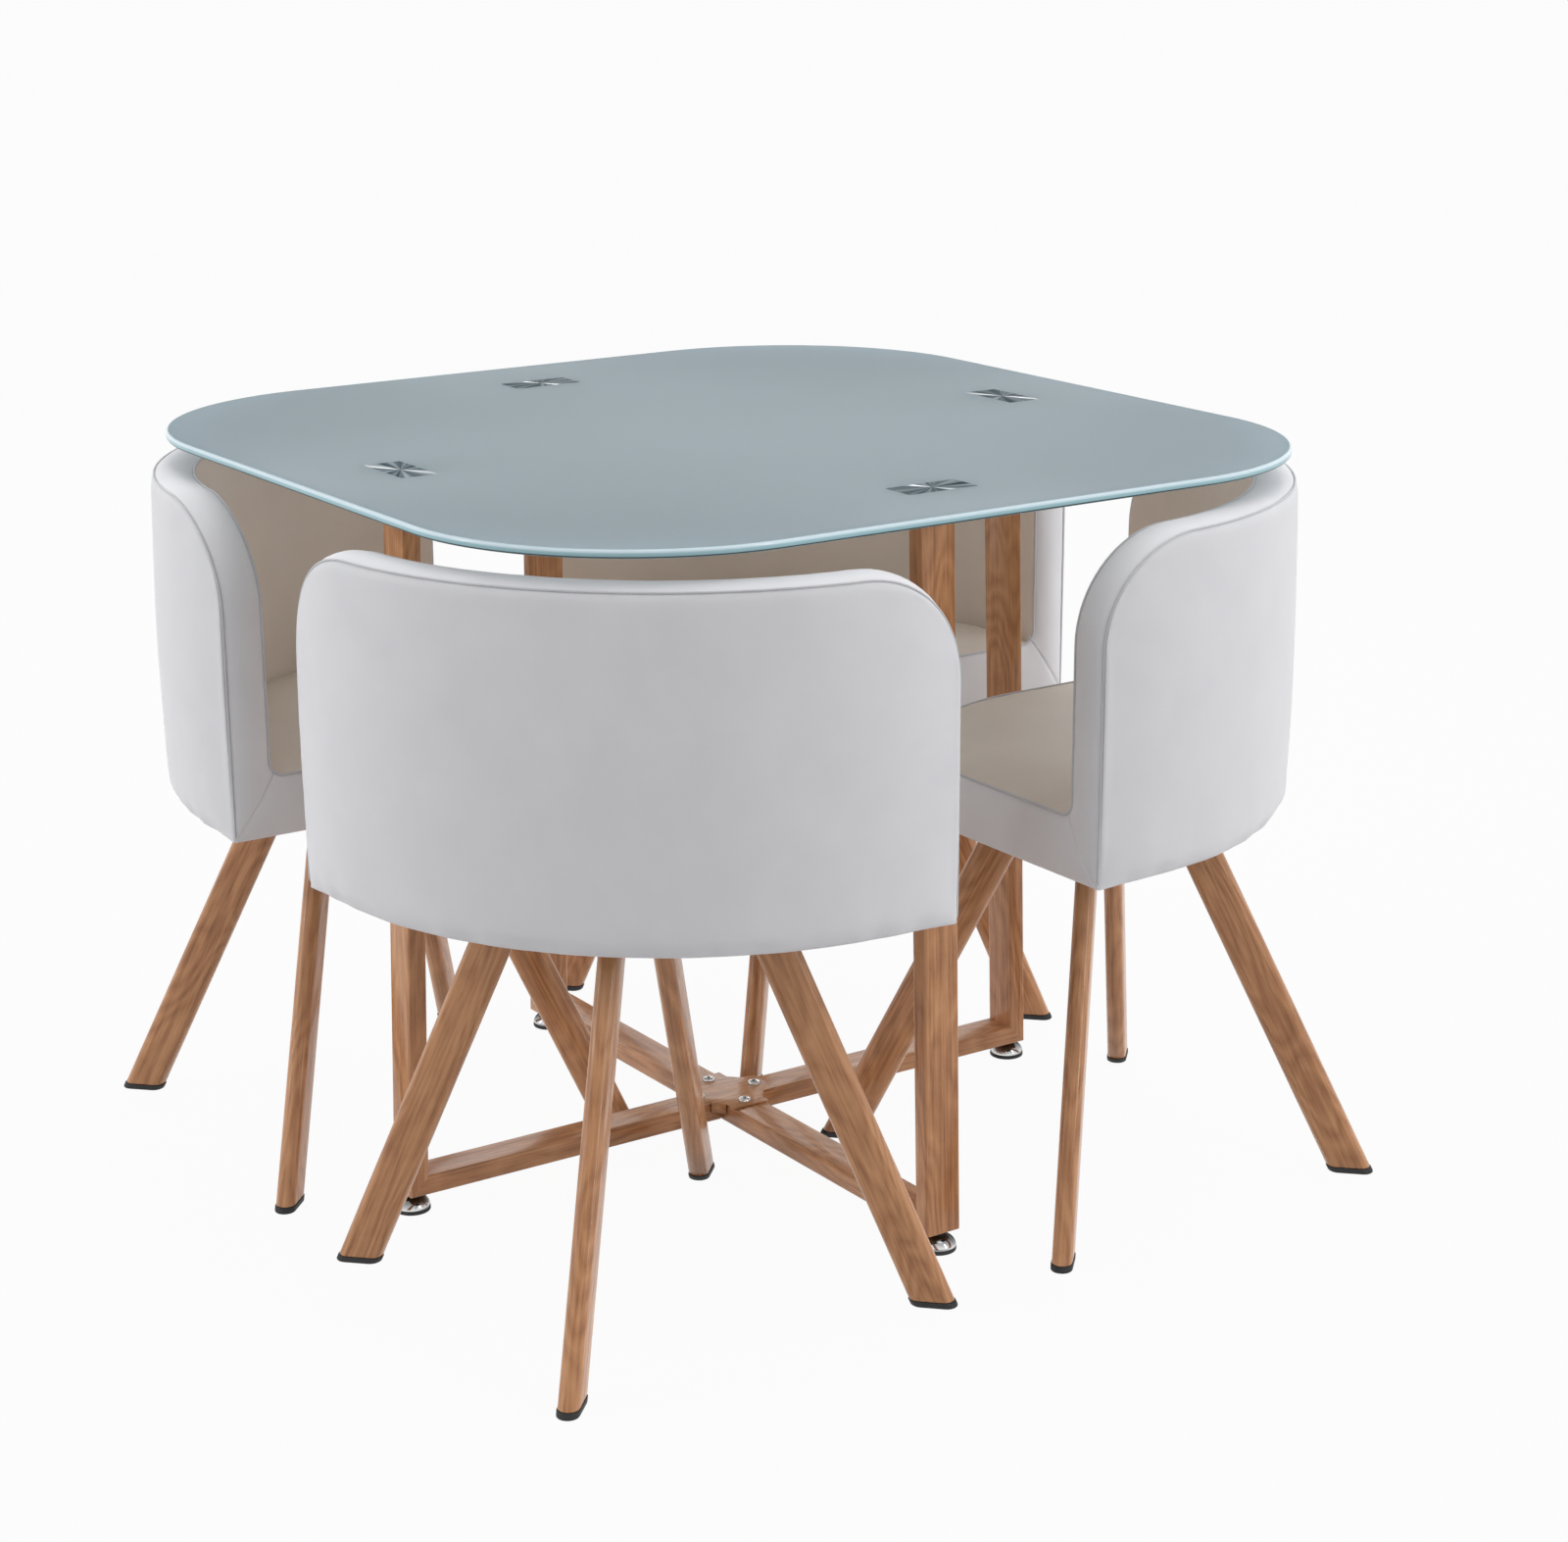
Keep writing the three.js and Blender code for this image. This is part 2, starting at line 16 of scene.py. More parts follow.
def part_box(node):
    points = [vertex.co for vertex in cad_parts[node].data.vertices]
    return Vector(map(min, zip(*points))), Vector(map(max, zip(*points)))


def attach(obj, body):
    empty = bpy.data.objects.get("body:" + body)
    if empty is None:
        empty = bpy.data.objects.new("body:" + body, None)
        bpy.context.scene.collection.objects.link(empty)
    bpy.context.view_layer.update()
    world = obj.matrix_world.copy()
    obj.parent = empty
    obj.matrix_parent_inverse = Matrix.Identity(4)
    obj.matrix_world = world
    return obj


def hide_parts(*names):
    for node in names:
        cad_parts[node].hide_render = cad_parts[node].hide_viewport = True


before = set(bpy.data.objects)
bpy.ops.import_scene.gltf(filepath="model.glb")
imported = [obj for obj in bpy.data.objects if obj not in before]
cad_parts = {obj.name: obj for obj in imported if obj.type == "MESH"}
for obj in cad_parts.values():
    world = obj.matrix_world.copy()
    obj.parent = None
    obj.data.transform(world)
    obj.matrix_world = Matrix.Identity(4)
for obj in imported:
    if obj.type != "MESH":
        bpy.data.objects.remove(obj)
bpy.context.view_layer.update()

# %% [markdown]
# ## The camera
# A product photograph is usually taken with a long lens from a little above. The lens, the
# distance and the angles below were fitted so that the feet, the glass and the chairs land where
# the photograph has them. The shift is the small amount by which the picture was cropped off
# centre. Angles are easier to read than a rotation matrix, so the camera is turned by Euler angles.

# %% Camera
PICTURE_WIDTH, PICTURE_HEIGHT = 1600, 1573
FOCAL_PIXELS = 3300.8
OPTICAL_AXIS_PIXEL = (815.8, 842.6)
SENSOR_WIDTH = 36.0
CAMERA_PLACE = (0.6774, -3.1372, 1.3236)
PITCH_DOWN, YAW, ROLL = math.radians(17.11), math.radians(10.777), math.radians(-0.216)
FAR_CLIP = 200
QUARTER_TURN, EIGHTH_TURN = math.pi / 2, math.pi / 4


def new_object(name, data):
    """An object in the scene for a camera, a lamp or a mesh."""
    thing = bpy.data.objects.new(name, data)
    bpy.context.scene.collection.objects.link(thing)
    return thing


camera_data = bpy.data.cameras.new("camera")
camera_data.sensor_width = SENSOR_WIDTH
camera_data.lens = FOCAL_PIXELS / PICTURE_WIDTH * SENSOR_WIDTH
camera_data.shift_x = (PICTURE_WIDTH / 2 - OPTICAL_AXIS_PIXEL[0]) / PICTURE_WIDTH
camera_data.shift_y = (OPTICAL_AXIS_PIXEL[1] - PICTURE_HEIGHT / 2) / PICTURE_WIDTH
camera_data.clip_end = FAR_CLIP
camera = new_object("camera", camera_data)
camera.location = CAMERA_PLACE
aim = Matrix.Rotation(YAW, 4, "Z") @ Matrix.Rotation(QUARTER_TURN - PITCH_DOWN, 4, "X")
camera.rotation_euler = (aim @ Matrix.Rotation(ROLL, 4, "Z")).to_euler()
bpy.context.scene.camera = camera
bpy.context.scene.view_settings.view_transform = "Standard"
print("lens: %.1f mm" % camera_data.lens)

# %% [markdown]
# ## Building node materials with little code
# A node material is a small graph. Writing every link by hand hides the idea, so this helper makes
# a node and fills its inputs in one call: a plain value is typed in, and a socket is linked. The
# steps that every finish below uses, such as a noise or a fine relief, get a short name.

# %% A helper for node graphs
FINE_RELIEF = 0.0003


class Graph:
    """A node tree that is filled one node at a time."""

    def __init__(self, tree):
        self.tree = tree
        tree.nodes.clear()

    def add(self, kind, inputs=None, **settings):
        node = self.tree.nodes.new("ShaderNode" + kind)
        for name, value in settings.items():
            setattr(node, name, value)
        for name, value in (inputs or {}).items():
            if isinstance(value, bpy.types.NodeSocket):
                self.tree.links.new(value, node.inputs[name])
            else:
                node.inputs[name].default_value = value
        return node

    def place(self):
        """Where a point lies in its piece's own coordinates."""
        return self.add("TexCoord").outputs["Object"]

    def noise(self, place, scale, detail):
        return self.add("TexNoise", {"Vector": place, "Scale": scale, "Detail": detail}).outputs["Fac"]

    def relief(self, height, strength, depth=FINE_RELIEF, over=None):
        """A bumpy normal from a pattern of heights, laid over another one where that is given."""
        inputs = {"Height": height, "Strength": strength, "Distance": depth}
        if over is not None:
            inputs["Normal"] = over
        return self.add("Bump", inputs).outputs[0]

    def math(self, operation, first, second=0.0, clamp=False):
        node = self.add("Math", {0: first, 1: second}, operation=operation, use_clamp=clamp)
        return node.outputs[0]

    def ramp(self, factor, stops):
        node = self.add("ValToRGB", {"Fac": factor})
        while len(node.color_ramp.elements) < len(stops):
            node.color_ramp.elements.new(0.5)
        for element, (place, colour) in zip(node.color_ramp.elements, stops):
            element.position = place
            element.color = (*colour, 1)
        return node.outputs["Color"]

    def mix(self, factor, first, second, blend="MIX"):
        node = self.add("Mix", {0: factor, 6: first, 7: second}, data_type="RGBA", blend_type=blend)
        return node.outputs[2]


def screen_colour(red, green, blue):
    """A colour picked on a screen, 0 to 255, as the linear light that a shader wants."""
    def linear(value):
        share = value / 255
        return share / 12.92 if share <= 0.04045 else ((share + 0.055) / 1.055) ** 2.4
    return (linear(red), linear(green), linear(blue))


def grey(level):
    return (level, level, level)


def new_material(name):
    material = bpy.data.materials.new(name)
    material.use_nodes = True
    return material, Graph(material.node_tree)


def finish_material(graph, shader):
    graph.add("OutputMaterial", {"Surface": shader})


print("white on screen is", screen_colour(255, 255, 255))

# %% [markdown]
# ## The studio
# The photograph has a pure white ground and very soft light that comes from all sides, with less
# from behind the camera, so the front chair is a little darker in its middle. Less comes from
# straight above too, or the tops of the chair backs would be burnt out. A floor and a world are
# enough for that. The floor is pale and takes a faint shadow, and what the camera sees of it is
# all but white.

# %% Floor
FLOOR_HALF = 40.0
FLOOR_PAINT = (0.55, 0.55, 0.55, 1)
FLOOR_WHITE_SHARE = 0.95


def shows_the_ground(graph):
    """1 for the rays that show the ground as it looks: straight, in a mirror or through glass."""
    rays = graph.add("LightPath").outputs
    mirrored = graph.math("MAXIMUM", rays["Is Camera Ray"], rays["Is Glossy Ray"])
    return graph.math("MAXIMUM", mirrored, rays["Is Transmission Ray"])


floor_material, graph = new_material("floor")
painted = graph.add("BsdfDiffuse", {"Color": FLOOR_PAINT}).outputs[0]
white = graph.add("Emission", {"Color": (1, 1, 1, 1), "Strength": 1.0}).outputs[0]
shown = graph.math("MULTIPLY", shows_the_ground(graph), FLOOR_WHITE_SHARE)
finish_material(graph, graph.add("MixShader", {0: shown, 1: painted, 2: white}).outputs[0])

floor_mesh = bpy.data.meshes.new("floor")
corners = [(x * FLOOR_HALF, y * FLOOR_HALF, 0) for x, y in ((-1, -1), (1, -1), (1, 1), (-1, 1))]
floor_mesh.from_pydata(corners, [], [(0, 1, 2, 3)])
floor_mesh.materials.append(floor_material)
floor = new_object("floor", floor_mesh)
print("floor reaches %.0f m each way" % FLOOR_HALF)

# %% [markdown]
# A world whose brightness changes with direction gives very soft light without noise. Two numbers
# steer it: how far upwards a direction points, and how far towards the side on which the camera
# stands. What the camera sees of it is white.

# %% World
FRONT = Vector((0.19, -0.98, 0.0)).normalized()
LOW_LIGHT, OVERHEAD_LIGHT = 2.35, 0.55
CAMERA_SIDE_SHARE = 0.2

world = bpy.data.worlds.new("studio")
bpy.context.scene.world = world
world.use_nodes = True
graph = Graph(world.node_tree)
direction = graph.add("TexCoord").outputs["Generated"]
upward = graph.add("SeparateXYZ", {0: direction}).outputs["Z"]
toward_front = graph.add(
    "VectorMath", {0: direction, 1: FRONT}, operation="DOT_PRODUCT").outputs["Value"]


def eased(value, start, end, at_start, at_end):
    """A smooth change from one level to another as a value goes from start to end."""
    places = {"Value": value, 1: start, 2: end, 3: at_start, 4: at_end}
    return graph.add("MapRange", places, interpolation_type="SMOOTHSTEP").outputs[0]


by_height = eased(upward, 0.15, 0.75, LOW_LIGHT, OVERHEAD_LIGHT)
by_side = eased(toward_front, 0.25, 0.75, 1.0, CAMERA_SIDE_SHARE)
strength = graph.math("MULTIPLY", by_height, by_side)
soft = graph.add("Background", {"Color": (0.98, 0.98, 1.0, 1), "Strength": strength})
plain = graph.add("Background", {"Color": (1, 1, 1, 1), "Strength": 1.0})
mixed = graph.add("MixShader", {0: shows_the_ground(graph), 1: soft.outputs[0], 2: plain.outputs[0]})
graph.add("OutputWorld", {"Surface": mixed.outputs[0]})
print("studio made")

# %% [markdown]
# Two tall narrow lamps stand left and right, because the bright line along a tube's edge is the
# picture of such a strip. One soft lamp hangs above and one behind, for the glass and the seats.
# Their light is added to the world's, so they are kept low.

# %% Soft lamps
LAMP_AIM = Vector((0, 0, 0.4))


def soft_lamp(name, place, size, power):
    data = bpy.data.lights.new(name, "AREA")
    data.shape = "RECTANGLE"
    data.size, data.size_y = size
    data.energy = power
    lamp = new_object(name, data)
    lamp.location = place
    lamp.rotation_euler = (LAMP_AIM - Vector(place)).to_track_quat("-Z", "Y").to_euler()


soft_lamp("left_strip", (-3.2, -1.5, 1.7), (0.4, 2.2), 17)
soft_lamp("right_strip", (3.1, -1.6, 1.9), (0.3, 2.4), 20)
soft_lamp("top_softbox", (0.4, 0.0, 3.3), (2.4, 2.4), 23)
soft_lamp("back_softbox", (-0.4, 3.4, 2.4), (3.0, 1.6), 19)

# %% [markdown]
# ## Meshes from grids of points
# Most pieces of the set are swept or wrapped surfaces, and the plainest way to make one is a grid
# of points: rows along the piece and columns around it. numpy works the points out, and one helper
# turns any grid into a Blender mesh.

# %% Grid helpers
def grid_faces(rows, columns, wrap_rows=False, wrap_columns=False, start=0):
    faces = []
    for r in range(rows if wrap_rows else rows - 1):
        for c in range(columns if wrap_columns else columns - 1):
            r2 = (r + 1) % rows
            c2 = (c + 1) % columns
            corner = (r * columns + c, r * columns + c2, r2 * columns + c2, r2 * columns + c)
            faces.append(tuple(start + i for i in corner))
    return faces


def build_piece(name, points, faces, material, sharp_degrees=40):
    """A mesh object from points and faces, with its faces turned outwards and shaded smooth."""
    mesh = bpy.data.meshes.new(name)
    mesh.from_pydata([tuple(p) for p in points], [], faces)
    shape = bmesh.new()
    shape.from_mesh(mesh)
    bmesh.ops.recalc_face_normals(shape, faces=shape.faces)
    shape.to_mesh(mesh)
    shape.free()
    mesh.shade_smooth()
    mesh.set_sharp_from_angle(angle=math.radians(sharp_degrees))
    mesh.materials.append(material)
    return new_object(name, mesh)


def swept_tube(rings, closed=False):
    """Points and faces of a closed skin through rings of points, with flat ends if it is open."""
    rows, columns = len(rings), len(rings[0])
    points = [tuple(p) for ring in rings for p in ring]
    faces = grid_faces(rows, columns, wrap_rows=closed, wrap_columns=True)
    if not closed:
        faces.append(tuple(range(columns)))
        faces.append(tuple((rows - 1) * columns + i for i in range(columns)))
    return points, faces


def circle(radius, height, segments):
    """Points of a level circle round the Z axis."""
    angles = [2 * math.pi * i / segments for i in range(segments)]
    return [(radius * math.cos(angle), radius * math.sin(angle), height) for angle in angles]


def pointed_skin(rows, segments):
    """Faces of a closed skin of circles, between a first and a last point on the axis."""
    last = rows * segments + 1
    faces = grid_faces(rows, segments, wrap_columns=True, start=1)
    for i in range(segments):
        after = (i + 1) % segments
        faces.append((0, 1 + after, 1 + i))
        faces.append((last, last - segments + i, last - segments + after))
    return faces


def lathe(profile, segments):
    """A turned piece from (radius, height) pairs that start and end on the axis."""
    points = [(0, 0, profile[0][1])]
    for radius, height in profile[1:-1]:
        points += circle(radius, height, segments)
    points.append((0, 0, profile[-1][1]))
    return points, pointed_skin(len(profile) - 2, segments)


def place_and_ride(piece, body, turn=0.0, place=(0, 0, 0)):
    """Turns a piece about Z, puts it in its place and lets it move with a body of the set."""
    piece.matrix_world = Matrix.Rotation(turn, 4, "Z") @ Matrix.Translation(place)
    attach(piece, body)
    return piece


print("a square grid of 3 x 3 points has", len(grid_faces(3, 3)), "faces")

# %% [markdown]
# ## The glass top
# The real top is one sheet of 8 mm float glass with a pencil-round edge. Its underside is frosted
# grey blue, apart from four clear windows over the legs, where polished steel plates are bonded
# on. The frosting sends some light back and lets the rest through, so the chairs under it stay
# lit. The finish is a mix of the two: a grey-blue body and a translucent share.

# %% Finishes of the glass
glass_low, glass_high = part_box("glass_top")


def frosted_glass():
    """Even grey blue, with a very fine grit and a share of light that passes through."""
    material, graph = new_material("frosted_glass")
    place = graph.place()
    cloud = graph.noise(place, 3.5, 3.0)
    grit = graph.noise(place, 900.0, 2.0)
    even = graph.ramp(cloud, [(0.3, screen_colour(127, 150, 160)), (0.7, screen_colour(133, 156, 167))])
    gritty = graph.ramp(grit, [(0.3, (0.12, 0.16, 0.18)), (0.7, (0.55, 0.62, 0.66))])
    body = graph.add("BsdfPrincipled", {
        "Base Color": graph.mix(0.06, even, gritty), "Roughness": 0.38, "Specular IOR Level": 0.06,
        "Normal": graph.relief(grit, 0.1),
    })
    through = graph.add("BsdfTranslucent", {"Color": (0.95, 0.96, 0.96, 1)}).outputs[0]
    finish_material(graph, graph.add("MixShader", {0: 0.5, 1: body.outputs[0], 2: through}).outputs[0])
    return material


def edge_painted_light():
    """Painted light of a polished edge: a painted highlight over pale aqua over a painted dark line."""
    material, graph = new_material("edge_painted_light")
    place = graph.place()
    height = graph.add("SeparateXYZ", {0: place}).outputs["Z"]
    up = graph.add("MapRange", {"Value": height, 1: glass_low.z, 2: glass_high.z}).outputs[0]
    wander = graph.noise(place, 9.0, 2.0)
    uneven = graph.math("MULTIPLY", graph.math("SUBTRACT", wander, 0.5), 0.05)
    # Painted light: the bright stops are a painted highlight along the top, the dark ones a painted shade
    # line near the bottom.
    colour = graph.ramp(graph.math("ADD", up, uneven), [
        (0.06, screen_colour(150, 176, 180)), (0.11, screen_colour(46, 62, 64)),
        (0.22, screen_colour(50, 68, 70)), (0.29, screen_colour(150, 188, 195)),
        (0.58, screen_colour(164, 202, 209)), (0.72, screen_colour(216, 234, 241)),
        (0.90, screen_colour(222, 238, 245)), (1.00, screen_colour(170, 194, 201)),
    ])
    edge = graph.add("BsdfPrincipled", {
        "Base Color": colour, "Roughness": 0.12, "Specular IOR Level": 0.4,
    })
    finish_material(graph, edge.outputs[0])
    return material


frosted_material, edge_material = frosted_glass(), edge_painted_light()
print("glass from %.1f to %.1f mm" % (1000 * glass_low.z, 1000 * glass_high.z))

# %% [markdown]
# ## Steel, seen by itself and through the glass
# The bonding plates' upper faces are ground round their middle. Scratches that run round a centre throw
# bright rays out of it, towards the lamps at both sides. Those rays are painted into the colour as
# painted reflections of the lamps, and the dark steel between them is a painted dark reflection. Under
# this slant a metal's dark parts stay dark only if its reflection at grazing angles is tinted too, so the
# specular tint follows the painted rays as the base colour does. Each ray is a function of one number,
# the angle round the nearest plate's middle.

# %% Star-ground steel
plate_low, plate_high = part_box("bonding_plate_front_right")
plate_radius = (plate_low.xy + plate_high.xy).length / 2
# The rays point towards the side lamps, because they are painted reflections of them.
RAY_DIRECTION = math.radians(-16)
RAY_FULL, RAY_END = 0.012, 0.036
ROOT_HALF = math.sqrt(0.5)


def from_nearest_plate(graph, place):
    """The distance of a point of the glass from its nearest plate's middle, along x or y."""
    middle = graph.math("MULTIPLY", graph.math("SIGN", place), plate_radius * ROOT_HALF)
    return graph.math("SUBTRACT", place, middle)


def steel_painted_rays():
    material, graph = new_material("steel_painted_rays")
    parts = graph.add("SeparateXYZ", {0: graph.place()}).outputs
    x, y = (from_nearest_plate(graph, parts[axis]) for axis in "XY")
    angle = graph.math("SUBTRACT", graph.math("ARCTAN2", y, x), RAY_DIRECTION)
    along, across = graph.math("COSINE", angle), graph.math("SINE", angle)
    own_side = graph.math("MULTIPLY", graph.math("SIGN", parts["Y"]), 3.0)
    around = graph.add("CombineXYZ", {
        "X": graph.math("MULTIPLY", along, 1.6), "Y": graph.math("MULTIPLY", across, 1.6),
        "Z": graph.math("ADD", graph.math("SIGN", parts["X"]), own_side),
    }).outputs[0]
    facets = graph.noise(around, 2.2, 2.0)
    beam = graph.math("POWER", graph.math("ABSOLUTE", along), 110.0)
    from_middle = graph.add("VectorMath", {0: graph.add("CombineXYZ", {"X": x, "Y": y}).outputs[0]},
                            operation="LENGTH").outputs["Value"]
    fade = graph.add("MapRange", {
        "Value": from_middle, 1: RAY_FULL, 2: RAY_END, 3: 1.0, 4: 0.5,
    }).outputs[0]
    bright = graph.add("MapRange", {"Value": facets, 1: 0.3, 2: 0.62, 3: 2.2, 4: 0.4}).outputs[0]
    # Painted highlight: the rays, painted reflections of the lamps.
    rays = graph.math("MULTIPLY", graph.math("MULTIPLY", beam, fade), bright, clamp=True)
    # Painted reflection: the dark steel between the rays.
    dark = graph.ramp(facets, [
        (0.36, screen_colour(66, 76, 81)), (0.47, screen_colour(88, 99, 103)),
        (0.53, screen_colour(78, 86, 92)), (0.66, screen_colour(128, 140, 144)),
    ])
    colour = graph.mix(rays, dark, (0.93, 0.95, 0.96, 1))
    # Painted dark reflection at grazing angles, carried in the specular tint.
    painted_dark_at_grazing = graph.ramp(facets, [(0.36, (0.28, 0.31, 0.32)), (0.66, (0.6, 0.63, 0.65))])
    steel = graph.add("BsdfPrincipled", {
        "Base Color": colour, "Metallic": 1.0,
        "Specular Tint": graph.mix(rays, painted_dark_at_grazing, (1, 1, 1, 1)),
        "Roughness": graph.ramp(facets, [(0.3, grey(0.22)), (0.8, grey(0.34))]),
    })
    finish_material(graph, steel.outputs[0])
    return material


painted_rays_material = steel_painted_rays()
print("plates at %.0f mm from the middle" % (1000 * plate_radius))

# %% [markdown]
# Screws and the plates' other faces are plainly polished, with fine marks in the colour and the
# roughness. The feet's bells are turned on a lathe, with fine rings. Their colour also holds painted
# reflection: brighter near the rim, darker up the dome and changing round it.

# %% Polished and turned steel
def polished_steel():
    material, graph = new_material("polished_steel")
    place = graph.place()
    flattened = graph.add("VectorMath", {0: place, 1: (60, 60, 900)}, operation="MULTIPLY").outputs[0]
    marks = graph.noise(flattened, 1.0, 3.0)
    colour = graph.ramp(marks, [(0.36, (0.44, 0.44, 0.44)), (0.52, (0.95, 0.95, 0.94))])
    steel = graph.add("BsdfPrincipled", {
        "Base Color": colour, "Metallic": 1.0,
        "Roughness": graph.ramp(marks, [(0.3, grey(0.07)), (0.8, grey(0.16))]),
    })
    finish_material(graph, steel.outputs[0])
    return material


# Heights at which the bells' painted reflection goes from bright to dark.
BRIGHT_BELOW, DARK_ABOVE = 0.004, 0.015


def turned_steel_painted_reflection():
    """The feet's bells, finely ringed, with painted reflection: bright near the rim, darker up the dome.
    """
    material, graph = new_material("turned_steel_painted_reflection")
    parts = graph.add("SeparateXYZ", {0: graph.place()}).outputs
    height = graph.add("CombineXYZ", {"Z": parts["Z"]}).outputs[0]
    rings = graph.noise(height, 1400.0, 2.0)
    round_axis = graph.math("ARCTAN2", parts["Y"], parts["X"])
    painted_glint_sector = graph.math("SINE", graph.math("MULTIPLY", round_axis, 2.0))
    up = graph.add("MapRange", {"Value": parts["Z"], 1: BRIGHT_BELOW, 2: DARK_ABOVE}).outputs[0]
    place = graph.math("ADD", up, graph.math("MULTIPLY", painted_glint_sector, 0.10))
    # Painted reflection: a bright band near the rim, darker up the dome, changing round the axis.
    dome = graph.ramp(place, [
        (0.08, grey(0.34)), (0.22, grey(0.86)), (0.5, grey(0.50)), (0.85, grey(0.22)),
    ])
    ring_tone = graph.ramp(rings, [(0.35, grey(0.3)), (0.65, grey(0.9))])
    ringed = graph.mix(0.25, dome, ring_tone, "MULTIPLY")
    # The specular tint follows the same painted reflection.
    steel = graph.add("BsdfPrincipled", {
        "Base Color": ringed, "Metallic": 1.0, "Specular Tint": ringed,
        "Roughness": graph.ramp(rings, [(0.3, grey(0.08)), (0.8, grey(0.18))]),
    })
    finish_material(graph, steel.outputs[0])
    return material


steel_material, bell_material = polished_steel(), turned_steel_painted_reflection()
print("steels:", steel_material.name, bell_material.name)

# %% [markdown]
# The outline is a square with very round corners, and its straight sides face the four legs. Each
# ring of the edge is the same outline, drawn in along its own normals, so that the rounding is
# even.

# %% Outline of the glass
GLASS_CORNER_RADIUS = 0.235
glass_half = (glass_high.x - GLASS_CORNER_RADIUS) / math.sqrt(2) + GLASS_CORNER_RADIUS


def rounded_rectangle(half_x, half_y, radius, segments):
    """Points of a rectangle with round corners, anticlockwise, in the XY plane."""
    outline = []
    for corner, (sx, sy) in enumerate(((1, 1), (-1, 1), (-1, -1), (1, -1))):
        for i in range(segments + 1):
            angle = (corner + i / segments) * QUARTER_TURN
            x = sx * (half_x - radius) + radius * math.cos(angle)
            outline.append((x, sy * (half_y - radius) + radius * math.sin(angle)))
    return outline


def turned(outline, angle, distance=0.0):
    """The outline moved out along X and then turned about the middle."""
    turn = Matrix.Rotation(angle, 2)
    return [tuple(turn @ Vector((x + distance, y))) for x, y in outline]


def glass_ring(inset, height, segments=40):
    side = glass_half - inset
    outline = rounded_rectangle(side, side, GLASS_CORNER_RADIUS - inset, segments)
    return [(x, y, height) for x, y in turned(outline, EIGHTH_TURN)]


def corner_turn(corner):
    """The direction of a corner of the table, where its leg, plate and foot are."""
    return (corner + 0.5) * QUARTER_TURN


print("the glass's outline has", len(glass_ring(0, glass_high.z)), "points")

# %% [markdown]
# The sheet is one closed skin with three finishes: frosting, edge and windows. bmesh suits it,
# because there each face can be given its finish at the moment it is made. The top is one level
# face with four holes, which a triangle fill leaves open for the windows. Light that meets glass
# at this slant is bent so far down that what is glued under it looks as if it lay at the surface,
# so the windows show the steel's finish themselves.

# %% Glass sheet
GLASS_EDGE_RADIUS, EDGE_STEPS = 0.0025, 6
WINDOW_HALF_LENGTH, WINDOW_HALF_WIDTH, WINDOW_CORNER_RADIUS = 0.039, 0.019, 0.001
FROSTING, EDGE, STEEL = 0, 1, 2
edge_rows = []
for step in range(EDGE_STEPS + 1):
    bend = step / EDGE_STEPS * QUARTER_TURN
    edge_rows.append((GLASS_EDGE_RADIUS * (1 - math.sin(bend)), GLASS_EDGE_RADIUS * (1 - math.cos(bend))))
glass_rings = [glass_ring(inset, glass_low.z + up) for inset, up in edge_rows]
glass_rings += [glass_ring(inset, glass_high.z - up) for inset, up in reversed(edge_rows)]

shape = bmesh.new()
rings = [[shape.verts.new(point) for point in ring] for ring in glass_rings]
for low, high in zip(rings, rings[1:]):
    for i in range(len(low)):
        after = (i + 1) % len(low)
        shape.faces.new((low[i], low[after], high[after], high[i])).material_index = EDGE
shape.faces.new(list(reversed(rings[0]))).material_index = FROSTING
open_edges = [edge for edge in shape.edges if edge.is_boundary]
window = rounded_rectangle(WINDOW_HALF_WIDTH, WINDOW_HALF_LENGTH, WINDOW_CORNER_RADIUS, 2)
for corner in range(4):
    outline = turned(window, corner_turn(corner), plate_radius)
    pane = shape.faces.new([shape.verts.new((x, y, glass_high.z)) for x, y in outline])
    pane.material_index = STEEL
    open_edges += list(pane.edges)
bmesh.ops.triangle_fill(shape, use_beauty=True, edges=open_edges)
bmesh.ops.recalc_face_normals(shape, faces=shape.faces)
glass_mesh = bpy.data.meshes.new("glass_sheet")
shape.to_mesh(glass_mesh)
shape.free()
LEVEL_ENOUGH = 0.999
for polygon in glass_mesh.polygons:
    polygon.use_smooth = abs(polygon.normal.z) < LEVEL_ENOUGH
for material in (frosted_material, edge_material, painted_rays_material):
    glass_mesh.materials.append(material)
glass_sheet = new_object("glass_sheet", glass_mesh)
place_and_ride(glass_sheet, "table")
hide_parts("glass_top")
print("glass: %.0f mm across, %d faces" % (2000 * glass_half, len(glass_mesh.polygons)))

# %% [markdown]
# ## The bonding plates
# Each leg is glued to the glass through a steel plate. From above only the windows show it, and
# from below it is a plain polished plate with softened edges.

# %% Bonding plates
def bevelled_plate(name, half_x, half_y, radius, low, high, bevel, material):
    """A level plate with round corners and softened edges."""
    rows = [(bevel, low), (0, low + bevel), (0, high - bevel), (bevel, high)]
    rings = []
    for inset, height in rows:
        outline = rounded_rectangle(half_x - inset, half_y - inset, radius - inset / 2, 4)
        rings.append([(x, y, height) for x, y in outline])
    points, faces = swept_tube(rings)
    return build_piece(name, points, faces, material)


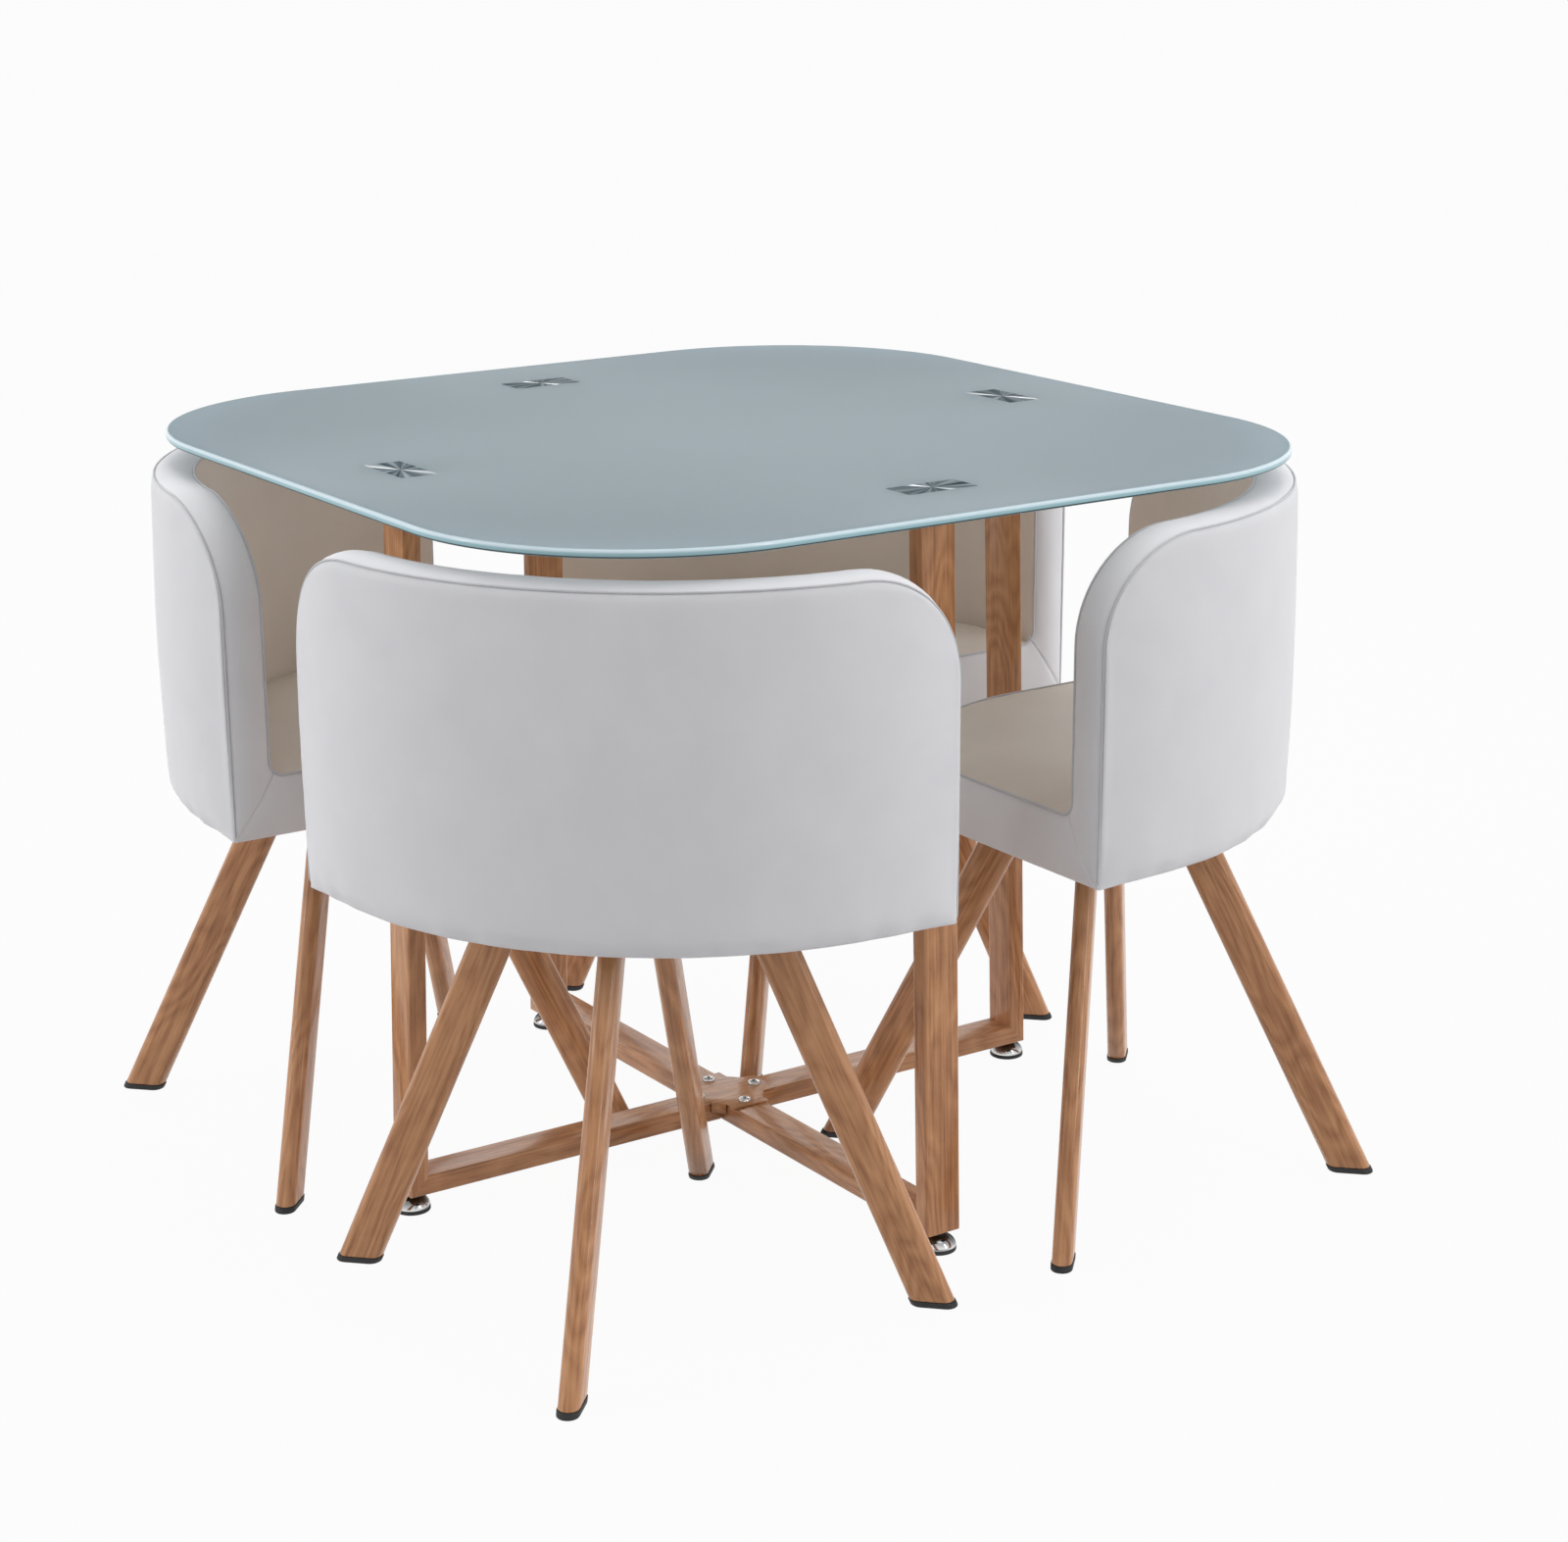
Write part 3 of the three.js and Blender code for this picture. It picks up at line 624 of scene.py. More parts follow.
TABLE_CORNERS = ["back_right", "back_left", "front_left", "front_right"]
PLATE_CORNER_RADIUS, PLATE_BEVEL = 0.002, 0.0004
plate_thickness = plate_high.z - plate_low.z
for corner, corner_name in enumerate(TABLE_CORNERS):
    plate = bevelled_plate(
        f"steel_plate_{corner_name}", WINDOW_HALF_WIDTH, WINDOW_HALF_LENGTH, PLATE_CORNER_RADIUS,
        0, plate_thickness, PLATE_BEVEL, steel_material,
    )
    place_and_ride(plate, "table", corner_turn(corner), (plate_radius, 0, plate_low.z))
    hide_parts(f"bonding_plate_{corner_name}")
print("plates are %.0f mm thick" % (1000 * plate_thickness))

# %% [markdown]
# ## Wood-look film
# The tubes are steel, wrapped in a printed film with walnut-like figure. Flat-sawn wood shows its
# growth rings as long arches and eyes, which look like the height lines of a gentle hill. So the
# pattern is just that: height lines of a smooth noise that is stretched along the tube. Fine
# fibres and a slow change of tone lie over it. The film needs coordinates that follow each tube,
# so every tube's mesh carries them as a point attribute called grain, with Z along the tube.

# %% Film material
def stretched_noise(graph, grain, along, scale, detail):
    """Noise that is drawn out along the tube: the smaller along is, the longer its features."""
    place = graph.add("VectorMath", {0: grain, 1: (1, 1, along)}, operation="MULTIPLY").outputs[0]
    return graph.noise(place, scale, detail)


def wood_film():
    material, graph = new_material("wood_film")
    grain = graph.add("Attribute", attribute_name="grain").outputs["Vector"]
    hill = stretched_noise(graph, grain, 0.28, 15.0, 1.5)
    wobble = stretched_noise(graph, grain, 0.35, 130.0, 2.0)
    level = graph.math("ADD", hill, graph.math("MULTIPLY", wobble, 0.022))
    lines = graph.math("PINGPONG", graph.math("MULTIPLY", level, 30.0), 1.0)
    soft_lines = graph.ramp(lines, [(0.0, grey(0.0)), (0.5, grey(0.5)), (1.0, grey(1.0))])
    patches = stretched_noise(graph, grain, 0.3, 22.0, 2.0)
    curl = stretched_noise(graph, grain, 1.6, 38.0, 2.0)
    streaks = stretched_noise(graph, grain, 0.03, 300.0, 3.0)
    fibres = stretched_noise(graph, grain, 0.035, 800.0, 3.0)
    tone = graph.math("MULTIPLY", soft_lines, 0.08)
    for layer, share in ((patches, 0.15), (curl, 0.06), (streaks, 0.28), (fibres, 0.22)):
        tone = graph.math("ADD", tone, graph.math("MULTIPLY", layer, share))
    colour = graph.ramp(tone, [
        (0.27, screen_colour(219, 163, 117)), (0.365, screen_colour(202, 146, 101)),
        (0.45, screen_colour(176, 121, 80)), (0.56, screen_colour(134, 87, 55)),
    ])
    roughness = graph.ramp(fibres, [(0.3, grey(0.24)), (0.7, grey(0.34))])
    film = graph.add("BsdfPrincipled", {
        "Base Color": colour, "Roughness": roughness, "Specular IOR Level": 0.28,
        "Coat Weight": 0.25, "Coat Roughness": 0.08, "Normal": graph.relief(fibres, 0.08),
    })
    finish_material(graph, film.outputs[0])
    return material


film_material = wood_film()
print("film nodes:", len(film_material.node_tree.nodes))

# %% [markdown]
# Every tube gets its own stretch of the print. The offset is worked out from the tube's number, so
# it is the same at each run, and it also sets how far the tube lies from the trunk's middle.

# %% Grain coordinates
TURN_PER_TUBE, RUN_PER_TUBE = 2.4, 0.83
FROM_TRUNK_MIDDLE, NEARER_OR_FARTHER, CHANGE_PER_TUBE = 0.035, 0.012, 1.7


def trunk_offset(number):
    """Where tube number so-and-so lies in the trunk: a few centimetres off its middle."""
    angle = number * TURN_PER_TUBE
    distance = FROM_TRUNK_MIDDLE + NEARER_OR_FARTHER * math.sin(number * CHANGE_PER_TUBE)
    return Vector((distance * math.cos(angle), distance * math.sin(angle), number * RUN_PER_TUBE))


def write_grain(piece, coordinates):
    attribute = piece.data.attributes.new("grain", "FLOAT_VECTOR", "POINT")
    flat = np.asarray(coordinates, dtype=np.float32).ravel()
    attribute.data.foreach_set("vector", flat)


print("first tubes start at", [round(trunk_offset(n).z, 2) for n in range(3)])

# %% [markdown]
# ## The crossed table frame
# Each leg and its half of the cross bar are one bent L of 40 x 20 mm tube, mitred and welded at
# the foot. A bevelled box would do for one straight tube, but the mitre has to be exact, so the
# rounded section is drawn once and carried to the two ends of each run.

# %% Leg frames
TUBE_WIDTH, TUBE_DEPTH, TUBE_CORNER = 0.040, 0.020, 0.0026
LEG_TOP_RADIUS, LEG_FOOT_RADIUS = 0.357, 0.377
BAR_UNDERSIDE, BAR_INNER_END = 0.020, 0.020
SECTION_SEGMENTS, RUN_STEPS = 5, 6
leg_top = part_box("table_leg_front_right")[1].z
tube_section = rounded_rectangle(TUBE_DEPTH / 2, TUBE_WIDTH / 2, TUBE_CORNER, SECTION_SEGMENTS)


def leg_at_top(across, side):
    return (LEG_TOP_RADIUS + TUBE_DEPTH / 2 - across, side, leg_top)


def leg_at_mitre(across, side):
    return (LEG_FOOT_RADIUS + TUBE_DEPTH / 2 - across, side, BAR_UNDERSIDE + across)


def bar_at_end(across, side):
    return (BAR_INNER_END, side, BAR_UNDERSIDE + across)


def straight_run(start, end, steps):
    """Rings from one cut end of a tube to the other, and their places along the tube."""
    rings, grain = [], []
    for step in range(steps + 1):
        share = step / steps
        ring, row = [], []
        for x, side in tube_section:
            across = TUBE_DEPTH / 2 - x
            point = Vector(start(across, side)).lerp(Vector(end(across, side)), share)
            ring.append(point)
            length = (Vector(end(across, side)) - Vector(start(across, side))).length
            row.append(Vector((across, side, share * length)))
        rings.append(ring)
        grain.append(row)
    return rings, grain


def table_frame(name, number):
    points, faces, grain = [], [], []
    for run, (start, end) in enumerate(((bar_at_end, leg_at_mitre), (leg_at_mitre, leg_at_top))):
        rings, rows = straight_run(start, end, RUN_STEPS)
        run_points, run_faces = swept_tube(rings)
        faces += [tuple(i + len(points) for i in face) for face in run_faces]
        points += run_points
        offset = trunk_offset(2 * number + run)
        grain += [v + offset for row in rows for v in row]
    piece = build_piece(name, points, faces, film_material, sharp_degrees=30)
    write_grain(piece, grain)
    return piece


for corner, corner_name in enumerate(TABLE_CORNERS):
    tube_frame = table_frame(f"tube_frame_{corner_name}", corner)
    place_and_ride(tube_frame, "table", corner_turn(corner))
    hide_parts(f"table_leg_{corner_name}")
print("leg frames reach up to %.1f mm" % (1000 * leg_top))

# %% [markdown]
# ## The centre plate
# A pressed plate ties the four bars together. It is a cross whose four inner corners are folded
# down between the bars. Sheet metal is easiest as a thin skin that modifiers give its thickness
# and its rounded bends, so the skin is drawn first and Solidify and Bevel do the rest.

# %% Centre plate
centre_low, centre_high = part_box("centre_plate")
SHEET_THICKNESS = 0.002
ARM_HALF = TUBE_WIDTH / 2 + SHEET_THICKNESS
CORNER_REACH = 0.039
BEND_RADIUS = 0.0009
PLATE_GRAIN_NUMBER = 31
arm_root = CORNER_REACH * math.sqrt(2) - ARM_HALF
arm_reach = centre_high.x * math.sqrt(2) - ARM_HALF
flap_drop = centre_high.z - centre_low.z

plate_points, flap_edges = [], []
for side in range(4):
    turn = Matrix.Rotation(side * QUARTER_TURN, 2)
    for reach, across in ((arm_root, -1), (arm_reach, -1), (arm_reach, 1), (arm_root, 1)):
        x, y = turn @ Vector((reach, across * ARM_HALF))
        plate_points.append((x, y, centre_high.z))
    flap_edges.append((4 * side + 3, (4 * side + 4) % 16))
plate_faces = [tuple(range(16))]
for first, second in flap_edges:
    start = len(plate_points)
    for index in (first, second):
        x, y, z = plate_points[index]
        plate_points.append((x, y, z - flap_drop))
    plate_faces.append((first, start, start + 1, second))
centre_plate = build_piece("pressed_centre_plate", plate_points, plate_faces, film_material)
offset = trunk_offset(PLATE_GRAIN_NUMBER)
write_grain(centre_plate, [Vector((y, z, x)) + offset for x, y, z in plate_points])
thickness = centre_plate.modifiers.new("sheet_thickness", "SOLIDIFY")
thickness.thickness, thickness.offset = SHEET_THICKNESS, -1
bends = centre_plate.modifiers.new("rounded_bends", "BEVEL")
bends.width, bends.segments = BEND_RADIUS, 3
place_and_ride(centre_plate, "table", EIGHTH_TURN)
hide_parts("centre_plate")
print("centre plate: flaps drop %.0f mm" % (1000 * flap_drop))

# %% [markdown]
# ## Bright screws
# A pan head is a low dome with a cross recess. Cutting the cross with a boolean leaves ragged
# faces on a piece this small. A fine polar grid whose height dips inside the cross is simpler and
# shades well.

# %% Screws in the centre plate
RECESS_WIDTH_SHARE, RECESS_REACH_SHARE, RECESS_DEPTH_SHARE = 0.17, 0.62, 0.6
RIM_HEIGHT_SHARE, DOME_SHARE = 0.35, 0.65


def pan_head_screw(name, material, radius, height, shank_radius, shank_length):
    """A screw standing on z = 0 by its head's underside, with its shank below."""
    rings, segments = 14, 40
    recess_half_width, recess_reach = radius * RECESS_WIDTH_SHARE, radius * RECESS_REACH_SHARE
    recess_depth = height * RECESS_DEPTH_SHARE
    points = [(0, 0, -shank_length)]
    for ring_radius, ring_height in ((shank_radius, -shank_length), (shank_radius, 0), (radius, 0)):
        points += circle(ring_radius, ring_height, segments)
    for ring in range(rings):
        share = 1 - ring / rings
        dome = height * (RIM_HEIGHT_SHARE + DOME_SHARE * math.sqrt(1 - share ** 2.4))
        for x, y, _ in circle(radius * share, 0, segments):
            inside = min(abs(x), abs(y)) < recess_half_width and max(abs(x), abs(y)) < recess_reach
            points.append((x, y, dome - (recess_depth if inside else 0)))
    points.append((0, 0, height - recess_depth))
    return build_piece(name, points, pointed_skin(3 + rings, segments), material, sharp_degrees=35)


SCREW_CIRCLE_RADIUS = 0.035
SEATING_GAP = 0.0003
CENTRE_SCREW = {"radius": 0.0065, "height": 0.0036, "shank_radius": 0.0029, "shank_length": 0.014}
screw_place = (SCREW_CIRCLE_RADIUS, 0, centre_high.z + SEATING_GAP)
for corner, corner_name in enumerate(TABLE_CORNERS):
    screw = pan_head_screw(f"pan_head_{corner_name}", steel_material, **CENTRE_SCREW)
    place_and_ride(screw, "table", corner_turn(corner), screw_place)
    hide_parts(f"centre_screw_{corner_name}")
print("screws on a circle of %.0f mm" % (2000 * SCREW_CIRCLE_RADIUS))

# %% [markdown]
# ## Levelling feet
# Under each leg a foot screws in and out. It is a polished bell on a black plastic pad, so it is
# two turned pieces that ride on the same moving body. The short neck above the bell carries a
# thread, modelled as fine rings. First comes the black of the pads, which the caps of the chair
# legs share: nearly black, with a fine grit and some paler wear.

# %% Black rubber
WEAR_GAIN, WEAR_LIFT = 2.2, 0.004


def black_plastic(name, colour, roughness):
    material, graph = new_material(name)
    place = graph.place()
    grit = graph.noise(place, 700.0, 2.0)
    wear = graph.noise(place, 60.0, 3.0)
    lighter = tuple(c * WEAR_GAIN + WEAR_LIFT for c in colour)
    rough = graph.ramp(grit, [(0.3, grey(roughness - 0.08)), (0.7, grey(roughness + 0.08))])
    rubber = graph.add("BsdfPrincipled", {
        "Base Color": graph.ramp(wear, [(0.35, colour), (0.75, lighter)]), "Roughness": rough,
        "Normal": graph.relief(grit, 0.2),
    })
    finish_material(graph, rubber.outputs[0])
    return material


rubber_material = black_plastic("black_rubber", (0.010, 0.010, 0.011), 0.62)
print("rubber nodes:", len(rubber_material.node_tree.nodes))

# %% [markdown]
# A lathe makes both halves of a foot from a profile: pairs of a radius and a height. The bell
# curves in from a small lip to the neck, and the pad's lower edge is rounded.

# %% Levelling feet
foot_low, foot_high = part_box("levelling_foot_front_right")
foot_radius = (foot_high.x - foot_low.x) / 2
PAD_HEIGHT, BELL_HEIGHT, NECK_RADIUS, STEM_RADIUS = 0.004, 0.012, 0.006, 0.004
BELL_STEPS, BELL_LIP = 14, 0.0006
BELL_UNDERSIDE_SHARE, BELL_RIM_SHARE, BELL_CURVE = 0.96, 0.985, 1.25
NECK_GAP = 0.0004

bell_profile = [(0, PAD_HEIGHT), (foot_radius * BELL_UNDERSIDE_SHARE, PAD_HEIGHT)]
for step in range(BELL_STEPS + 1):
    bend = step / BELL_STEPS * QUARTER_TURN
    swell = (foot_radius * BELL_RIM_SHARE - NECK_RADIUS) * abs(math.cos(bend)) ** BELL_CURVE
    rise = BELL_LIP + (BELL_HEIGHT - BELL_LIP) * math.sin(bend)
    bell_profile.append((NECK_RADIUS + swell, PAD_HEIGHT + rise))
neck_top = BAR_UNDERSIDE - NECK_GAP
THREADS, THREAD_DEPTH, THREAD_RISE = 3, 0.0008, 0.0006
thread_root = NECK_RADIUS - THREAD_DEPTH
neck_low = PAD_HEIGHT + BELL_HEIGHT + THREAD_RISE
for thread in range(THREADS):
    low = neck_low + (neck_top - neck_low) * thread / THREADS
    bell_profile += [(thread_root, low), (NECK_RADIUS, low + THREAD_RISE)]
bell_profile += [(thread_root, neck_top), (STEM_RADIUS, neck_top)]
bell_profile += [(STEM_RADIUS, foot_high.z), (0, foot_high.z)]
PAD_GAP, PAD_ROUNDING, PAD_TOP_BEVEL = 0.0001, 0.001, 0.0006
pad_top = PAD_HEIGHT - PAD_GAP
pad_profile = [
    (0, 0), (foot_radius - PAD_ROUNDING, 0),
    (foot_radius - 0.3 * PAD_ROUNDING, 0.4 * PAD_ROUNDING), (foot_radius, 1.1 * PAD_ROUNDING),
    (foot_radius, PAD_HEIGHT - PAD_ROUNDING), (foot_radius - PAD_TOP_BEVEL, pad_top), (0, pad_top),
]
for corner, corner_name in enumerate(TABLE_CORNERS):
    for part, profile, material, slot in (
        ("bell", bell_profile, bell_material, "polished_steel"),
        ("pad", pad_profile, rubber_material, "black_rubber"),
    ):
        points, faces = lathe(profile, 48)
        piece = build_piece(f"foot_{part}_{corner_name}", points, faces, material)
        foot_place = (LEG_FOOT_RADIUS, 0, 0)
        place_and_ride(piece, f"levelling_foot_{corner_name}", corner_turn(corner), foot_place)
        if part == "bell":
            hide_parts(f"levelling_foot_{corner_name}")
print("feet are %.0f mm across" % (2000 * foot_radius))

# %% [markdown]
# ## Leather
# The covers are a smooth synthetic leather. Two things tell it from paint: a fine pebble that is only
# seen in the highlights, and slow unevenness where foam lies under it. The pebble is a cell pattern at
# about a millimetre. The outside is white, and the seat and the inside of the back are a warmer cream.
# The band round the rim is coloured a shade lighter than the outside: painted light, which lifts the rims
# where the chairs shade them. The thin welt in the seams is coloured darker: painted shade, for the
# shadow in the seam's groove beside it.

# %% Leather materials
FOAM_RELIEF = 0.004


def leather(name, light, dark):
    material, graph = new_material(name)
    place = graph.place()
    pebble = graph.add("TexVoronoi", {"Vector": place, "Scale": 850.0}).outputs["Distance"]
    fine = graph.noise(place, 1600.0, 2.0)
    slow = graph.noise(place, 16.0, 3.0)
    colour = graph.ramp(slow, [(0.3, dark), (0.7, light)])
    roughness = graph.ramp(slow, [(0.3, grey(0.44)), (0.7, grey(0.54))])
    height = graph.math("ADD", pebble, graph.math("MULTIPLY", fine, 0.5))
    pebbled = graph.relief(height, 0.16)
    hide = graph.add("BsdfPrincipled", {
        "Base Color": colour, "Roughness": roughness, "Specular IOR Level": 0.4, "Sheen Weight": 0.05,
        "Normal": graph.relief(slow, 0.12, FOAM_RELIEF, over=pebbled),
    })
    finish_material(graph, hide.outputs[0])
    return material


white_leather = leather("white_leather", (0.755, 0.755, 0.772), (0.72, 0.72, 0.74))
cream_leather = leather("cream_leather", (0.80, 0.695, 0.605), (0.765, 0.66, 0.565))
# Painted light: the band is a lighter copy of the white leather, for rims that lie in shade.
band_leather_painted_light = leather("band_leather_painted_light", (0.80, 0.80, 0.816), (0.765, 0.765, 0.782))
# Painted shade: the welt is darker for the shadow in the seam's groove.
piping_painted_shade_material = leather("piping_leather_painted_shade", (0.62, 0.62, 0.64), (0.56, 0.56, 0.58))
print("leathers:", white_leather.name, cream_leather.name, band_leather_painted_light.name, piping_painted_shade_material.name)

# %% [markdown]
# ## The chair's wrap-round shape
# Seen from above, a chair is a wedge with a round nose that points at the table's middle, closed
# by an arc. The back stands on the arc and its two ends lie in the wedge's side planes. So a point
# of the back needs only three numbers: how far along from end to end, its radius and its height.
# The chair is modelled once, in its place on the X axis, and turned for the other three.

# %% The chair's own coordinates
back_low, back_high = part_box("right_chair_backrest")
seat_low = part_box("right_chair_seat")[0]
BACK_ARC_RADIUS, BACK_THICKNESS = 0.380, 0.046
BACK_CORNER_RADIUS = 0.108
SEAT_NOSE_RADIUS, SEAT_SEAM_HEIGHT = 0.240, 0.450
SEAM_INSET, SEAM_DEPTH, PILLOW_EDGE = 0.006, 0.0025, 0.010
PANEL_CROWN = 0.003

arc_centre = back_high.x - BACK_ARC_RADIUS
wedge_tip = seat_low.x - SEAT_NOSE_RADIUS * (math.sqrt(2) - 1)
seam_tip = wedge_tip + SEAM_INSET * math.sqrt(2)
nose_centre = wedge_tip + SEAT_NOSE_RADIUS * math.sqrt(2)
outer_seam_radius = BACK_ARC_RADIUS - PANEL_CROWN - SEAM_DEPTH
inner_seam_radius = BACK_ARC_RADIUS - BACK_THICKNESS + SEAM_DEPTH
top_seam_height = back_high.z - SEAM_INSET
seat_seam_level = SEAT_SEAM_HEIGHT - SEAM_DEPTH
bottom = back_low.z


def wedge_angle(radius, inset=0.0):
    """The angle at which an arc of this radius meets the wedge's side plane, or one inside it."""
    tip = seam_tip + inset * math.sqrt(2)
    return EIGHTH_TURN - np.arcsin((tip - arc_centre) / math.sqrt(2) / radius)


def shell_point(along, radius, height):
    """A point of the back: along runs from -1 to 1 between the two ends."""
    angle = along * wedge_angle(radius)
    x = arc_centre + radius * np.cos(angle)
    return np.stack([x, radius * np.sin(angle), height + 0 * x], axis=-1)


def pillow(distance, reach=PILLOW_EDGE):
    """0 at a seam, rising in a quarter ellipse to 1 at this reach from it."""
    share = np.clip(distance / reach, 0, 1)
    return np.sqrt(1 - (1 - share) ** 2)


half_length = outer_seam_radius * wedge_angle(outer_seam_radius)
corner_radius = BACK_CORNER_RADIUS - SEAM_INSET
print("the back is %.0f mm round the outside" % (2000 * half_length))

# %% [markdown]
# ## Panels that fill an outline
# An upholsterer cuts a panel to an outline and sews it along its edge, and the foam pushes it out
# into a pillow. The mesh follows the same steps. A Coons patch spreads a grid between four edge
# curves, the distance of each point from the seam says how far it is still pulled down, and a
# little noise along the seams and the stapled bottom edge gives the puckers of real upholstery.

# %% Coons patch and spacing
def graded_steps(length, edge_reach, middle_step, edge_steps=6):
    """Shares from 0 to 1 along a length, close together near both ends."""
    bend = np.linspace(0, QUARTER_TURN, edge_steps + 1)
    near = edge_reach * (1 - np.cos(bend)) / length
    count = max(2, int((length - 2 * edge_reach) / middle_step))
    middle = np.linspace(near[-1], 1 - near[-1], count + 1)[1:-1]
    return np.concatenate([near, middle, 1 - near[::-1]])


def along_polyline(points, shares):
    """Points at these shares of a polyline's length."""
    steps = np.linalg.norm(np.diff(points, axis=0), axis=1)
    place = np.concatenate([[0], np.cumsum(steps)]) / steps.sum()
    return np.stack([np.interp(shares, place, points[:, k]) for k in range(points.shape[1])], axis=-1)


def coons_patch(low, high, left, right, u, v):
    """A grid between four edge curves: low and high run along u, left and right along v."""
    a, b = along_polyline(low, u), along_polyline(high, u)
    c, d = along_polyline(left, v), along_polyline(right, v)
    u, v = u[None, :, None], v[:, None, None]
    ruled = (1 - v) * a[None] + v * b[None] + (1 - u) * c[:, None] + u * d[:, None]
    corners = (1 - u) * (1 - v) * low[0] + u * (1 - v) * low[-1]
    return ruled - corners - (1 - u) * v * high[0] - u * v * high[-1]


print("shares along a side of 100 mm:", len(graded_steps(0.1, 0.01, 0.01)))

# %% [markdown]
# A cover is sheet goods with an outer and an inner face, so each panel becomes a closed sheet with
# the thickness of leather and its backing. The puckers beside a seam are noise that is strongest a
# few millimetres from the thread and dies away towards the middle of the panel.

# %% Puckers and covers
COVER_THICKNESS = 0.004
PUCKER_START = 0.004


def smooth_noise(points, scale, seed):
    """Noise from -1 to 1 at each point, the same at every run."""
    flat = np.asarray(points).reshape(-1, 3) * scale
    values = [noise.noise(Vector(p) + Vector((seed, 0, 0))) for p in flat]
    return np.array(values).reshape(np.asarray(points).shape[:-1])


def puckers(points, from_seam, scale, seed, height, reach):
    """Small folds beside a seam, up to this height, which die away over this reach."""
    folds = smooth_noise(points, scale, seed) * np.exp(-from_seam / reach)
    return height * folds * pillow(from_seam, PUCKER_START)


def thick_panel(name, grid, thickness, inward, material, wrap_rows=False):
    """A closed sheet from a grid of points, given its thickness along the inward vectors."""
    rows, columns = grid.shape[:2]
    under = grid + inward * thickness
    points = np.concatenate([grid.reshape(-1, 3), under.reshape(-1, 3)])
    count = rows * columns
    faces = grid_faces(rows, columns, wrap_rows=wrap_rows)
    faces += [tuple(reversed(f)) for f in grid_faces(rows, columns, wrap_rows=wrap_rows, start=count)]
    edge_rows = rows if wrap_rows else rows - 1
    for column in (0, columns - 1):
        for r in range(edge_rows):
            a, b = r * columns + column, (r + 1) % rows * columns + column
            faces.append((a, b, count + b, count + a))
    if not wrap_rows:
        for row in (0, rows - 1):
            for c in range(columns - 1):
                a, b = row * columns + c, row * columns + c + 1
                faces.append((a, b, count + b, count + a))
    return build_piece(name, points, faces, material, sharp_degrees=60)


row_of_points = np.linspace([0, 0, 0], [0.1, 0, 0], 5)
print("noise along 100 mm:", smooth_noise(row_of_points, scale=9.0, seed=8.0).round(2))

# %% [markdown]
# The two panels of a back share one outline: straight sides and bottom, and round top corners. It
# is written flat, as distance along the arc and height. A Coons patch wants four edges, so each
# round corner is shared out: its lower half belongs to the side, and its upper half to the top.

# %% Outline of a back panel
CORNER_STEPS = 12


def corner_outline(half, level, radius, height_low):
    """The left edge and the top edge, which meet in the middle of the round corner."""
    def arc(start, end):
        bend = np.linspace(start, end, CORNER_STEPS)
        across, drop = radius * (1 - np.cos(bend)), radius * (1 - np.sin(bend))
        return np.stack([-half + across, level - drop], axis=-1)
    left = np.concatenate([[[-half, height_low]], arc(0, EIGHTH_TURN)])
    start = arc(EIGHTH_TURN, QUARTER_TURN)
    top = np.concatenate([start, start[::-1] * [-1, 1]])
    return left, top


def seam_distance(s, z, half, level, radius):
    """Distance from the nearest of the two sides, the top and its round corners."""
    side, drop = half - np.abs(s), level - z
    in_corner = (side < radius) & (drop < radius)
    round_corner = radius - np.hypot(radius - side, radius - drop)
    return np.where(in_corner, round_corner, np.minimum(side, drop))


left_edge, top_edge = corner_outline(half_length, top_seam_height, corner_radius, bottom)
print("left and top edge:", len(left_edge), "and", len(top_edge), "points")

# %% [markdown]
# ## Foam that pushes a cover
# A crown that is only drawn looks too even. On the real chair the foam pushes a cover that is held
# at its seams, and the cover finds its own shape. Blender's cloth does the same: the panel is
# pinned along its edges, air pressure pushes it out for twenty frames with gravity off, and the
# push is read back and kept within a few millimetres. Only the push is kept, so no cloth stays in
# the scene. The grid for it is even, because cells of very different size upset the solver.

# %% Air pressure under a pinned panel
AIR_PRESSURE, CLOTH_FRAMES, CLOTH_STEP = 4.0, 20, 0.008
COVER_SLACK = 0.003
NO_LENGTH = 1e-9


def even_steps(length):
    return np.linspace(0, 1, int(length / CLOTH_STEP) + 1)


